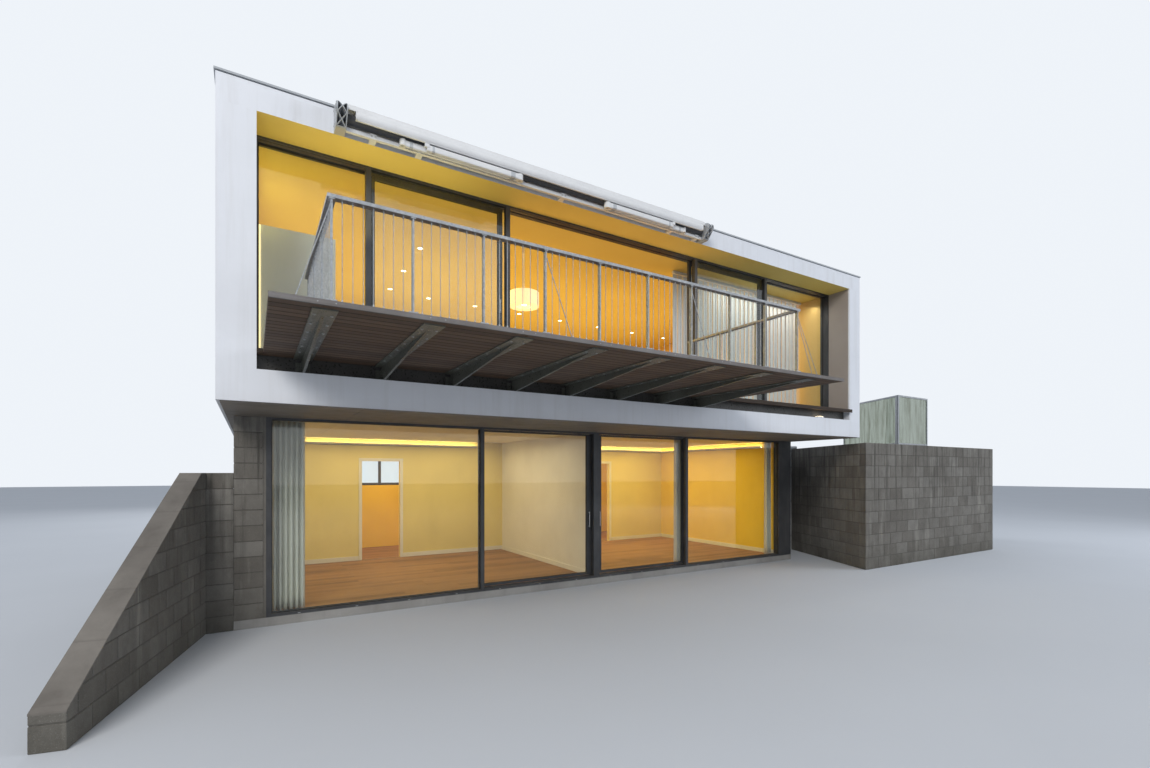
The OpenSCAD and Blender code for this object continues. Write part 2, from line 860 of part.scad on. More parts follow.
// A bar of oval section along X, from x for the length l to either side
module oval_bar(x, y, l) {
    translate([min(x, x + l), y, arm_z]) rotate([90, 0, 90]) linear_extrude(abs(l)) {
        square([arm_t, arm_h - arm_t], center = true);
        for (end = [-1, 1]) translate([0, end * (arm_h - arm_t) / 2]) circle(d = arm_t);
    }
}

// A folded arm: shoulder casting, inner arm, elbow, outer arm and knuckle; reach points to the elbow
module folded_arm(x, reach) {
    shoulder_d = 64;
    shoulder_h = arm_h - 8;
    elbow_d = 90;
    elbow_x = x + reach;
    outer_l = -0.82 * reach;
    tip = elbow_x + outer_l;
    knuckle_w = 50;
    low = arm_z - shoulder_h / 2;
    color("#f0f0ee") {
        translate([x, arm_y, low]) cylinder(d = shoulder_d, h = shoulder_h);
        block([x - shoulder_d / 2, arm_y, low], [x + shoulder_d / 2, torsion_y - torsion, low + shoulder_h]);
        oval_bar(x, arm_y, reach);
        translate([elbow_x, (arm_y + outer_y) / 2, arm_z - arm_h / 2]) cylinder(d = elbow_d, h = arm_h);
        oval_bar(elbow_x, outer_y, outer_l);
        block([tip - knuckle_w / 2, bar_y, arm_z], [tip + knuckle_w / 2, outer_y + 1, bar_z - bar_h / 2]);
    }
}

module awning_arms() {
    folded_arm(shoulder_l, arm_l);
    folded_arm(shoulder_r, -arm_l);
}

// A slab over a skewed plan patch between two places along the front and along the side
module patch(x0, x1, s0, s1, z0, z1) {
    translate([0, 0, z0]) linear_extrude(z1 - z0)
        polygon([skewed(x0, s0), skewed(x1, s0), skewed(x1, s1), skewed(x0, s1)]);
}

module terrace_front_wall() {
    color("#857f76") patch(0, terrace_w, 0, wall_s, 0, terrace_h);
}

module terrace_left_wall() {
    color("#857f76") patch(0, wall_s, wall_s, terrace_s, 0, terrace_h);
}

module terrace_rear_walls() {
    color("#857f76") {
        patch(terrace_w - wall_s, terrace_w, wall_s, terrace_s, 0, terrace_h);
        patch(wall_s + seat_gap, terrace_w - wall_s + 1, terrace_s - wall_s, terrace_s, 0, terrace_h);
    }
}

// A straight wall that closes the wedge between the house and the terrace
module terrace_link_wall() {
    s0 = link_back / cos(terrace_skew);
    s1 = (link_back + terrace_wall_t) / cos(terrace_skew);
    far0 = skewed(-seat_gap, s0);
    far1 = skewed(-seat_gap, s1);
    color("#857f76") linear_extrude(terrace_h)
        polygon([[low_out, far0[1]], far0, far1, [low_out, far1[1]]]);
}

module terrace_slab() {
    color("#9a968e") patch(wall_s + seat_gap, terrace_w - wall_s - seat_gap,
        wall_s, terrace_s - wall_s, z_fill, terrace_h);
}

module screen_bars(x0, x1, s0, s1, along_x) {
    z0 = terrace_h;
    z1 = z_screen;
    w = screen_bar;
    if (along_x) {
        patch(x0, x0 + w, s0, s1, z0, z1);
        patch(x1 - w, x1, s0, s1, z0, z1);
    } else {
        patch(x0, x1, s0, s0 + w, z0, z1);
        patch(x0, x1, s1 - w, s1, z0, z1);
    }
    patch(x0, x1, s0, s1, z0, z0 + w);
    patch(x0, x1, s0, s1, z1 - w, z1);
}

module terrace_screen_frame() {
    t = screen_t;
    post_lip = 10;
    post_face = 60;
    color("#8d9296") {
        screen_bars(screen_in, screen_in + screen_w, screen_s, screen_s + t, true);
        screen_bars(screen_in, screen_in + t, screen_s + t + post_gap, screen_s + screen_side_l, false);
        patch(screen_in - post_lip, screen_in - post_lip + post_face, screen_s + t, screen_s + t + post_gap,
            terrace_h, z_screen);
    }
}

module terrace_screen_glass() {
    t = screen_t;
    w = screen_bar;
    z0 = terrace_h + w;
    z1 = z_screen - w;
    pane = (t - glass_t) / 2;
    side_s = screen_s + t + post_gap + w;
    color("#7f9a92") {
        patch(screen_in + w + seat_gap, screen_in + screen_w - w - seat_gap,
            screen_s + pane, screen_s + t - pane, z0, z1);
        patch(screen_in + pane, screen_in + t - pane, side_s, screen_s + screen_side_l - w, z0, z1);
    }
}

// A short return beside the house and a raking wall that falls away to the front
module left_wing_wall() {
    corner = [-low_out - return_w - wing_t, y_low + wing_t];
    along = [-sin(wing_turn), -cos(wing_turn)];
    across = [cos(wing_turn), -sin(wing_turn)];
    toe = corner + wing_l * along;
    inner = corner + wing_t * across;
    crook = inner + (inner[1] - y_low) / cos(wing_turn) * along;
    past = 100;
    rise = past * (wing_h - wing_toe) / (wing_l - rake_start);
    color("#8a847a") difference() {
        linear_extrude(wing_h)
            polygon([[-low_out, y_low], [-low_out, corner[1]], corner, toe, toe + wing_t * across, crook]);
        translate([corner[0] - past, corner[1], 0]) rotate(-wing_turn)
            rotate([90, 0, 90]) linear_extrude(wing_t + 4 * past)
                polygon([[past - rake_start, wing_h + rise], [-wing_l - past, wing_toe - rise],
                    [-wing_l - past, wing_h + rise]]);
    }
}

// Stands against the terrace's left wall, with an elbow into its top
module downpipe() {
    p = skewed(0, pipe_back);
    r = pipe_d / 2;
    color("#e4e6e8") translate([p[0], p[1], 0]) rotate(-terrace_skew) {
        translate([-r, 0, 0]) cylinder(r = r, h = terrace_h + r);
        translate([-r, 0, terrace_h + r]) sphere(r = r);
        translate([-r, 0, terrace_h + r]) rotate([0, 90, 0]) cylinder(r = r, h = pipe_reach);
    }
}

ground_floor_slab();
lower_left_wall();
lower_right_wall();
lower_right_end_panel();
lower_rear_wall();
bedroom_partitions();
lower_window_frame();
lower_fixed_glass();
left_door_frame();
left_door_glass();
left_door_handle();
right_door_frame();
right_door_glass();
right_door_handle();
overhang_lining();
upper_floor_slab();
upper_timber_floor();
upper_left_wall();
upper_right_wall();
upper_rear_wall();
rear_window_frames();
rear_window_glass();
bedroom_curtain_tracks();
bedroom_curtains();
roof_slab();
roof_membrane();
roof_parapet();
roof_capping();
upper_window_frame();
upper_door_leaves();
upper_glass();
upper_low_partition();
upper_blinds();
pendant_lamp();
balcony_deck();
balcony_edge_board();
balcony_strip();
balcony_outriggers();
balcony_bearers();
front_balustrade();
left_balustrade();
right_balustrade();
awning_end_brackets();
awning_torsion_bar();
awning_roller();
awning_hood();
awning_front_bar();
awning_arms();
terrace_front_wall();
terrace_left_wall();
terrace_rear_walls();
terrace_slab();
terrace_link_wall();
terrace_screen_frame();
terrace_screen_glass();
left_wing_wall();
downpipe();
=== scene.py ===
"""Looks and small parts of a two-storey beach house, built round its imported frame."""
import math
import random
from itertools import product

import bmesh
import bpy
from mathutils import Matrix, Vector


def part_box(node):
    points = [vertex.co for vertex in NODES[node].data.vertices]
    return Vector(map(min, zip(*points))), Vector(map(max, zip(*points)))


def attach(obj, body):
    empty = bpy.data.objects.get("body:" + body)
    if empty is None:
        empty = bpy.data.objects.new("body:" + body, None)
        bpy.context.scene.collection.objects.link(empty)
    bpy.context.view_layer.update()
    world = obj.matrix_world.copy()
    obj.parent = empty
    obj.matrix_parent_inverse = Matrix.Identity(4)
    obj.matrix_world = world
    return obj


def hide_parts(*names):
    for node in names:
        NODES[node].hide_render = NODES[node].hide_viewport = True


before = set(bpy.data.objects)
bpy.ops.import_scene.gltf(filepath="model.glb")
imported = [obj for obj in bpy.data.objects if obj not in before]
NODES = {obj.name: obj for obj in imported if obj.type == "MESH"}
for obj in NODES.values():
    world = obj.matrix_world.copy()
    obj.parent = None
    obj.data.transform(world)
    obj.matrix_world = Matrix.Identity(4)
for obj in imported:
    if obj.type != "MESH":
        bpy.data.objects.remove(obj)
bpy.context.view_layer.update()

BOX = {name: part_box(name) for name in NODES}
RNG = random.Random(11)
BOTH = (-1, 1)


def span(node, axis):
    """Where a node starts and ends along X, Y or Z."""
    k = "XYZ".index(axis)
    return BOX[node][0][k], BOX[node][1][k]


def middle(node, axis):
    return sum(span(node, axis)) / 2


# Planes of the house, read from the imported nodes
FRONT, REAR = span("upper_left_wall", "Y")
IN_W = BOX["upper_right_wall"][0][0]
Z_BAND, Z_CEILING = span("upper_left_wall", "Z")
Z_DECK = BOX["upper_timber_floor"][1][2]
Y_UP, Y_UP_BACK = span("upper_window_frame", "Y")
Y_ROOM_END = BOX["upper_timber_floor"][1][1]
Y_LOW, Y_LOW_BACK = span("lower_window_frame", "Y")
LOW_OUT, LOW_IN = -BOX["lower_left_wall"][0][0], BOX["lower_window_frame"][1][0]
REAR_IN = BOX["lower_rear_wall"][0][1]
Z_SLAB = BOX["ground_floor_slab"][1][2]
Z_LINING, Z_SOFFIT = span("overhang_lining", "Z")
PARTITION = 0.1
Y_PARTITION = BOX["bedroom_partitions"][1][1] - PARTITION
CENTRE = (BOX["left_door_frame"][0][0] + BOX["right_door_frame"][1][0]) / 2
WALL_L, WALL_R = CENTRE - PARTITION / 2, CENTRE + PARTITION / 2
Z_JOIST = BOX["balcony_deck"][0][2]
DECK_LO, DECK_HI = BOX["balcony_deck"]
DECK_ROWS, DECK_GAP = 18, 0.007
DECK_PITCH = (DECK_HI[1] - DECK_LO[1] + DECK_GAP) / DECK_ROWS


# Materials

def placed(name, data):
    """A new object in the scene."""
    thing = bpy.data.objects.new(name, data)
    bpy.context.scene.collection.objects.link(thing)
    return thing


class Graph:
    """A node tree whose nodes are added by short calls."""

    def __init__(self, tree):
        self.tree = tree

    def add(self, kind, inputs=None, **settings):
        """One node with its settings, its inputs being numbers, colours or sockets."""
        node = self.tree.nodes.new("ShaderNode" + kind)
        for key, value in settings.items():
            setattr(node, key, value)
        for key, value in (inputs or {}).items():
            if isinstance(value, bpy.types.NodeSocket):
                self.tree.links.new(value, node.inputs[key])
                continue
            if node.inputs[key].type == "RGBA" and len(value) == 3:
                value = (*value, 1)
            node.inputs[key].default_value = value
        return node

    def math(self, operation, a, b=0):
        return self.add("Math", {0: a, 1: b}, operation=operation).outputs[0]

    def times(self, a, b):
        return self.math("MULTIPLY", a, b)


class Look(Graph):
    """A Principled material. Noises are given as scale, detail, roughness and stretch."""

    def __init__(self, name, rough=0.5, metal=0, **sockets):
        self.mat = bpy.data.materials.new(name)
        self.mat.use_nodes = True
        super().__init__(self.mat.node_tree)
        self.shader = self.tree.nodes["Principled BSDF"]
        for key, value in {"Roughness": rough, "Metallic": metal, **sockets}.items():
            self.shader.inputs[key.replace("_", " ")].default_value = value
        self.place = self.add("TexCoord").outputs["Object"]

    def moved(self, operation, where, by):
        return self.add("VectorMath", {0: where, 1: by}, operation=operation).outputs[0]

    def noise(self, scale, detail=4, rough=0.5, stretch=(1, 1, 1), where=None, distortion=0):
        vector = where if where is not None else self.moved("MULTIPLY", self.place, stretch)
        return self.add("TexNoise", {"Vector": vector, "Scale": scale, "Detail": detail,
                                     "Roughness": rough, "Distortion": distortion}).outputs["Fac"]

    def field(self, value):
        """A socket as it is, or the noise that a tuple gives."""
        return self.noise(*value) if isinstance(value, tuple) else value

    def band(self, value, low, high):
        """0 below low, 1 above high."""
        return self.add("MapRange", {0: self.field(value), 1: low, 2: high}).outputs[0]

    def ramp(self, factor, *stops):
        node = self.add("ValToRGB", {0: self.field(factor)})
        ramp = node.color_ramp
        while len(ramp.elements) < len(stops):
            ramp.elements.new(0.5)
        for element, (position, colour) in zip(ramp.elements, stops):
            element.position = position
            element.color = (*colour, 1)
        return node.outputs[0]

    def blend(self, factor, a, b, low=0.3, high=0.7):
        """From one colour to the other while the factor goes from low to high."""
        return self.ramp(factor, (low, a), (high, b))

    def mix(self, factor, a, b, kind="MIX"):
        return self.add("Mix", {0: factor, 6: a, 7: b}, data_type="RGBA", blend_type=kind).outputs[2]

    def patch(self, base, tone, share, noise, low, high, only=None):
        """Lays a share of a tone over the base where a noise is high."""
        spots = self.band(noise, low, high)
        if only is not None:
            spots = self.times(spots, only)
        return self.mix(self.times(spots, share), base, tone)

    def axis(self, name):
        return self.add("SeparateXYZ", {0: self.place}).outputs[name]

    def upward(self):
        normal = self.add("NewGeometry").outputs["Normal"]
        return self.add("SeparateXYZ", {0: normal}).outputs["Z"]

    def tint(self):
        """The first of the three random numbers that each board or block carries."""
        colour = self.add("Attribute", attribute_name="tint").outputs["Color"]
        return self.add("SeparateColor", {0: colour}).outputs[0]

    def within(self, lo, hi):
        """1 inside a box of the row frame, by its x, y and z limits; None leaves a limit out."""
        parts = self.add("SeparateXYZ", {0: self.place}).outputs
        found = None
        for k in range(3):
            for limit, test in ((lo[k], "GREATER_THAN"), (hi[k], "LESS_THAN")):
                if limit is not None:
                    side = self.math(test, parts[k], limit)
                    found = side if found is None else self.times(found, side)
        return found

    def wire(self, value, name):
        self.tree.links.new(value, self.shader.inputs[name])

    def done(self, colour, *relief, roughness=None):
        """Wires the shader up and gives the material; relief layers are height, distance and strength."""
        self.wire(colour, "Base Color")
        if roughness is not None:
            self.wire(roughness, "Roughness")
        normal = None
        for height, distance, strength in relief:
            inputs = {"Height": self.field(height), "Distance": distance, "Strength": strength}
            if normal is not None:
                inputs["Normal"] = normal
            normal = self.add("Bump", inputs).outputs[0]
        self.wire(normal, "Normal")
        return self.mat


def lerp(a, b, t):
    return tuple(x + (y - x) * t for x, y in zip(a, b))


def darker(colour, share):
    return lerp(colour, (0, 0, 0), share)


def paler(colour, share):
    return lerp(colour, (1, 1, 1), share)


WHITE_SHADE, WHITE_PAINT = (0.66, 0.675, 0.71), (0.73, 0.745, 0.78)
SKIN = 0.01


def render_look():
    """White painted render outside, painted plaster in the upper room, seen by place; painted shade at the
    band's bottom edge and on the side reveals, and the room's paint partly painted warm lamplight.
    """
    look = Look("white_render", rough=0.62)
    broad = look.noise(0.9, 6, 0.6)
    base = look.blend(broad, WHITE_SHADE, WHITE_PAINT)
    base = look.patch(base, (0.5, 0.49, 0.47), 0.28, (1, 5, 0.6, (9, 9, 0.5)), 0.5, 0.78)
    # Darker and warmer towards the bottom edge of the white band: painted shade under the balcony with a painted
    # warm cast.
    painted_shade_low_edge = look.band(look.axis("Z"), Z_BAND - 0.2, Z_SOFFIT)
    base = look.mix(look.times(painted_shade_low_edge, 0.1), base, (0.46, 0.43, 0.4))
    # Inside the upper room the paint runs from yellow on the left to tan on the right: partly the walls' own
    # paint, partly painted warm lamplight.
    roller = look.noise(1.6, 5, 0.5)
    yellow = look.blend(roller, (0.72, 0.7, 0.25), (0.77, 0.76, 0.31))
    tan = look.blend(roller, (0.66, 0.43, 0.13), (0.71, 0.48, 0.16))
    paint = look.mix(look.band(look.axis("X"), 0.3, 2.2), yellow, tan)
    # The side reveals take a darker, warmer tone: painted shade on faces turned from the light, with a painted
    # warm cast from the rooms.
    reveal_painted_shade = look.blend(broad, (0.3, 0.26, 0.23), (0.35, 0.305, 0.27))
    for x in (-IN_W, IN_W):
        side = look.within((x - SKIN, FRONT + 0.03, Z_DECK), (x + SKIN, Y_UP_BACK, None))
        base = look.mix(side, base, reveal_painted_shade)
    inside = look.within((-IN_W - SKIN, Y_UP_BACK - 0.02, Z_BAND), (IN_W + SKIN, Y_ROOM_END + SKIN, None))
    return look.done(look.mix(inside, base, paint),
                     ((7, 5, 0.55), 0.004, 0.25), ((260, 3, 0.6), 0.0006, 0.5),
                     roughness=look.band((12, 3), -1.2, 1.6))


def roof_slab_look():
    """White fascia, ochre ceiling and soffit on the underside; the ochre is partly their own colour, partly
    painted warm light from the rooms.
    """
    look = Look("white_render_roof", rough=0.6)
    base = look.blend((0.9, 6, 0.6), WHITE_SHADE, WHITE_PAINT)
    base = look.patch(base, (0.48, 0.47, 0.46), 0.32, (1, 5, 0.6, (9, 9, 0.6)), 0.48, 0.75)
    # Ochre on downward faces: partly the ceiling's own colour, partly painted warm light from the rooms.
    ceiling_and_painted_glow = look.blend((0.7, 5, 0.55), (0.68, 0.5, 0.12), (0.73, 0.56, 0.15))
    under = look.math("LESS_THAN", look.upward(), -0.5)
    return look.done(look.mix(under, base, ceiling_and_painted_glow),
                     ((7, 5, 0.55), 0.004, 0.25), ((260, 3, 0.6), 0.0006, 0.5))


def block_look():
    """Weathered concrete blocks: each a shade of its own, pores, and stains that run down."""
    look = Look("concrete_block", rough=0.9)
    # Base tones darker than plain concrete block: partly the blocks' own grey, partly painted shade.
    colour = look.ramp(look.tint(), (0, (0.138, 0.126, 0.109)), (0.5, (0.172, 0.16, 0.141)),
                       (1, (0.206, 0.194, 0.173)))
    colour = look.patch(colour, (0.095, 0.087, 0.075), 0.42, (6, 8, 0.7), 0.42, 0.72)
    colour = look.patch(colour, (0.075, 0.068, 0.058), 0.55, (1, 6, 0.65, (1.5, 1.5, 0.9)), 0.45, 0.66)
    high = look.band(look.axis("Z"), 0.3, 2.1)
    colour = look.patch(colour, (0.042, 0.038, 0.032), 0.72, (1, 5, 0.65, (9, 9, 0.4)), 0.5, 0.62, high)
    colour = look.patch(colour, (0.3, 0.285, 0.25), 0.45, (1, 5, 0.6, (5, 5, 0.8)), 0.56, 0.7)
    foot = look.times(look.band(look.axis("Z"), 0.55, 0), look.noise(3, 6, 0.6))
    colour = look.mix(foot, colour, (0.07, 0.066, 0.052))
    colour = look.patch(colour, (0.42, 0.41, 0.38), 0.35, (140, 2, 0.6), 0.6, 0.72)
    pores = look.band((95, 4, 0.7), 0.36, 0.52)
    return look.done(colour, (pores, 0.0022, 0.8), ((14, 5, 0.6), 0.004, 0.35))


def plain_look(name, rough, cloud, dark, pale, high, grain, depth, strength):
    """Cloudy between two shades, with a fine grain."""
    look = Look(name, rough=rough)
    return look.done(look.blend(cloud, dark, pale, high=high), (grain, depth, strength))


def concrete_look(name, dark, pale, lines=0):
    """Cast concrete with fine pores, cloudy patches and, if wanted, board marks every so far up."""
    look = Look(name, rough=0.85)
    colour = look.blend((1.4, 7, 0.62), dark, pale, high=0.72)
    colour = look.patch(colour, darker(dark, 0.4), 0.4, (1, 5, 0.6, (6, 6, 0.35)), 0.52, 0.8)
    height = look.noise(60, 5, 0.65)
    if lines:
        steps = look.math("FRACT", look.math("DIVIDE", look.axis("Z"), lines))
        mark = look.math("SUBTRACT", 1, look.band(steps, 0, 0.05))
        colour = look.mix(look.times(mark, 0.5), colour, dark)
        height = look.math("SUBTRACT", height, look.times(mark, 1.5))
    return look.done(colour, (height, 0.0025, 0.6))


def board_look(name, dark, pale, grey, rough=0.75, seam=None):
    """Timber boards along X, each shifted and shaded by its own tint.

    seam gives where the rows start and end in Y and their pitch, for the painted shade along their edges.
    """
    look = Look(name, rough=rough)
    tint = look.add("Attribute", attribute_name="tint").outputs["Vector"]
    place = look.moved("ADD", look.place, look.moved("MULTIPLY", tint, (37, 53, 29)))
    line = look.moved("MULTIPLY", place, (1.1, 38, 38))
    broad = look.moved("MULTIPLY", place, (0.35, 5, 5))
    grain = look.noise(1, 8, 0.7, where=line, distortion=0.6)
    figure = look.noise(1, 4, 0.6, where=broad, distortion=1.2)
    colour = look.blend(grain, dark, pale, 0.3, 0.68)
    colour = look.mix(look.band(figure, 0.35, 0.75), colour, lerp(dark, pale, 0.35))
    shade = look.ramp(look.tint(), (0, (0.6, 0.58, 0.56)), (0.5, (0.92, 0.9, 0.88)), (1, (1, 1, 1)))
    colour = look.mix(1, colour, shade, "MULTIPLY")
    colour = look.patch(colour, grey, 0.45, (2, 6, 0.65), 0.4, 0.75)
    # Near-black lines along the board edges: painted shade in the gaps between boards.
    if seam:
        start, end, pitch = seam
        across = look.axis("Y")
        share = look.math("FRACT", look.math("DIVIDE", look.math("SUBTRACT", across, start), pitch))
        near = look.math("MINIMUM", share, look.math("SUBTRACT", 1, share))
        dirt_and_painted_shade = look.times(look.band(near, 0.13, 0.04), look.math("LESS_THAN", across, end))
        colour = look.mix(look.times(dirt_and_painted_shade, 0.75), colour, (0.012, 0.009, 0.007))
    return look.done(colour, (grain, 0.0012, 0.7), (look.noise(1, 3, 0.5, where=line), 0.001, 0.5),
                     roughness=look.band(grain, -1.6, 1.5))


def painted_look(name, colour, rough=0.4, metal=0, dust=(0.36, 0.34, 0.31), share=0.2):
    """Powder coat or enamel: orange-peel, faint cloudiness, dust on upward faces and in streaks."""
    look = Look(name, rough=rough, metal=metal)
    base = look.blend((2.5, 5, 0.6), darker(colour, 0.1), paler(colour, 0.04), 0.25, 0.75)
    streak = look.band((1, 6, 0.65, (12, 12, 1.5)), 0.5, 0.8)
    up = look.band(look.upward(), 0.3, 1)
    dirt_and_painted_shade = look.math("MAXIMUM", look.times(streak, share), look.times(up, share * 2.2))
    return look.done(look.mix(dirt_and_painted_shade, base, dust), ((420, 2, 0.5), 0.0003, 0.5),
                     roughness=look.band((40, 4, 0.6), 0.5 - 0.25 / rough, 1.35))


def metal_look(name, colour, rough):
    """Galvanised or satin steel with spangle, brushing and dull patches."""
    look = Look(name, rough=rough, metal=0.85)
    cells = look.add("TexVoronoi", {"Vector": look.place, "Scale": 55}).outputs["Color"]
    spangle = look.add("SeparateColor", {0: cells}).outputs[0]
    base = look.blend(spangle, darker(colour, 0.18), paler(colour, 0.1), 0, 1)
    return look.done(look.patch(base, (0.33, 0.335, 0.33), 0.5, (5, 6, 0.65), 0.4, 0.75),
                     ((90, 4, 0.6), 0.0004, 0.5),
                     roughness=look.blend((18, 5, 0.6), (rough * 0.8,) * 3, (rough * 1.35,) * 3))


def glass_look(name, colour=(0.93, 0.97, 0.96), haze=0, shadow=0.85, film=None):
    """Clear glass with a faint green body, light smears and lamps shining through; film is moss in streaks."""
    look = Look(name, rough=0, Transmission_Weight=1, IOR=1.46)
    smear = look.band((3, 7, 0.7, (1, 1, 0.4)), 0.5, 0.85)
    if film is None:
        body = look.blend(smear, colour, lerp(colour, (0.8, 0.82, 0.8), 0.35), 0, 1)
    else:
        body = look.patch(colour, film, 0.75, (1, 6, 0.65, (14, 14, 1.6)), 0.42, 0.66)
    clear = look.add("BsdfTransparent", {0: lerp((0, 0, 0), colour, shadow)})
    ray = look.add("LightPath").outputs["Is Shadow Ray"]
    both = look.add("MixShader", {0: ray, 1: look.shader.outputs[0], 2: clear.outputs[0]})
    look.tree.links.new(both.outputs[0], look.tree.nodes["Material Output"].inputs["Surface"])
    return look.done(body, ((0.8, 2, 0.5), 0.0015, 0.25),
                     roughness=look.times(smear, 0.02 + 0.25 * haze))


def cloth_look(name, colour, weave=900, glow=0):
    """Woven cloth: two crossed sets of threads, slubs and soft shade changes."""
    look = Look(name, rough=0.9, Sheen_Weight=0.25, Sheen_Roughness=0.5, Emission_Strength=glow)
    warp = look.noise(1, 2, 0.5, (weave, weave, weave * 0.04))
    weft = look.noise(1, 2, 0.5, (weave * 0.04, weave * 0.04, weave))
    threads = look.times(look.math("ADD", warp, weft), 0.5)
    base = look.blend(threads, darker(colour, 0.14), paler(colour, 0.06), 0.35, 0.65)
    shade = look.patch(base, darker(colour, 0.25), 0.18, (2.2, 4, 0.5), 0.35, 0.75)
    if glow:
        look.wire(shade, "Emission Color")
    return look.done(shade, (threads, 0.0004, 0.6))


def plaster_look(name, colour, deep, split_y=None, beyond=None):
    """Painted lining with roller texture; past split_y it takes another colour."""
    look = Look(name, rough=0.7)
    cloud = look.noise(1.2, 5, 0.55)
    base = look.blend(cloud, deep, colour)
    if beyond:
        other = look.blend(cloud, darker(beyond, 0.08), beyond)
        base = look.mix(look.math("GREATER_THAN", look.axis("Y"), split_y), base, other)
    return look.done(base, ((320, 3, 0.6), 0.0005, 0.6),
                     roughness=look.band((9, 4), -1.5, 1.5))


def soffit_look():
    """Brown-grey sheet lining outside, its dark tone partly its own colour and partly painted shade under the
    overhang; painted ceiling over the rooms.
    """
    look = Look("soffit_lining", rough=0.7)
    # Brown-grey tones of the lining: partly its own colour, partly painted shade under the overhang.
    base = look.blend((1.1, 6, 0.6), (0.155, 0.132, 0.108), (0.215, 0.187, 0.155))
    base = look.mix(look.times(look.tint(), 0.25), base, (0.1, 0.088, 0.075))
    base = look.patch(base, (0.085, 0.075, 0.065), 0.35, (2.6, 6, 0.6), 0.55, 0.8)
    room = look.within((-LOW_IN, Y_LOW_BACK - 0.05, None), (LOW_IN, None, None))
    paint = look.blend((1.6, 4), (0.76, 0.7, 0.56), (0.82, 0.76, 0.62))
    return look.done(look.mix(room, base, paint), ((200, 3, 0.6), 0.0006, 0.5),
                     roughness=look.band((6, 4), -1.4, 1.6))


def membrane_look():
    """Grey roof sheet with the marks of standing water and grit."""
    look = Look("roof_finish", rough=0.8)
    base = look.blend((0.8, 7, 0.65), (0.2, 0.205, 0.21), (0.3, 0.305, 0.31))
    base = look.patch(base, (0.15, 0.148, 0.14), 0.5, (0.45, 5, 0.6), 0.5, 0.66)
    base = look.patch(base, (0.42, 0.42, 0.41), 0.3, (260, 2, 0.6), 0.45, 0.7)
    return look.done(base, ((240, 3, 0.6), 0.0012, 0.8))


def glow_look(name, colour, strength):
    """A lit lens or lamp: a ribbed diffuser over an even glow."""
    look = Look(name, rough=0.4, Emission_Strength=strength)
    ribs = look.noise(120, 2, 0.5)
    base = look.blend(ribs, darker(colour, 0.06), colour, 0.2, 0.8)
    look.wire(base, "Emission Color")
    return look.done(base, (ribs, 0.0004, 0.5))


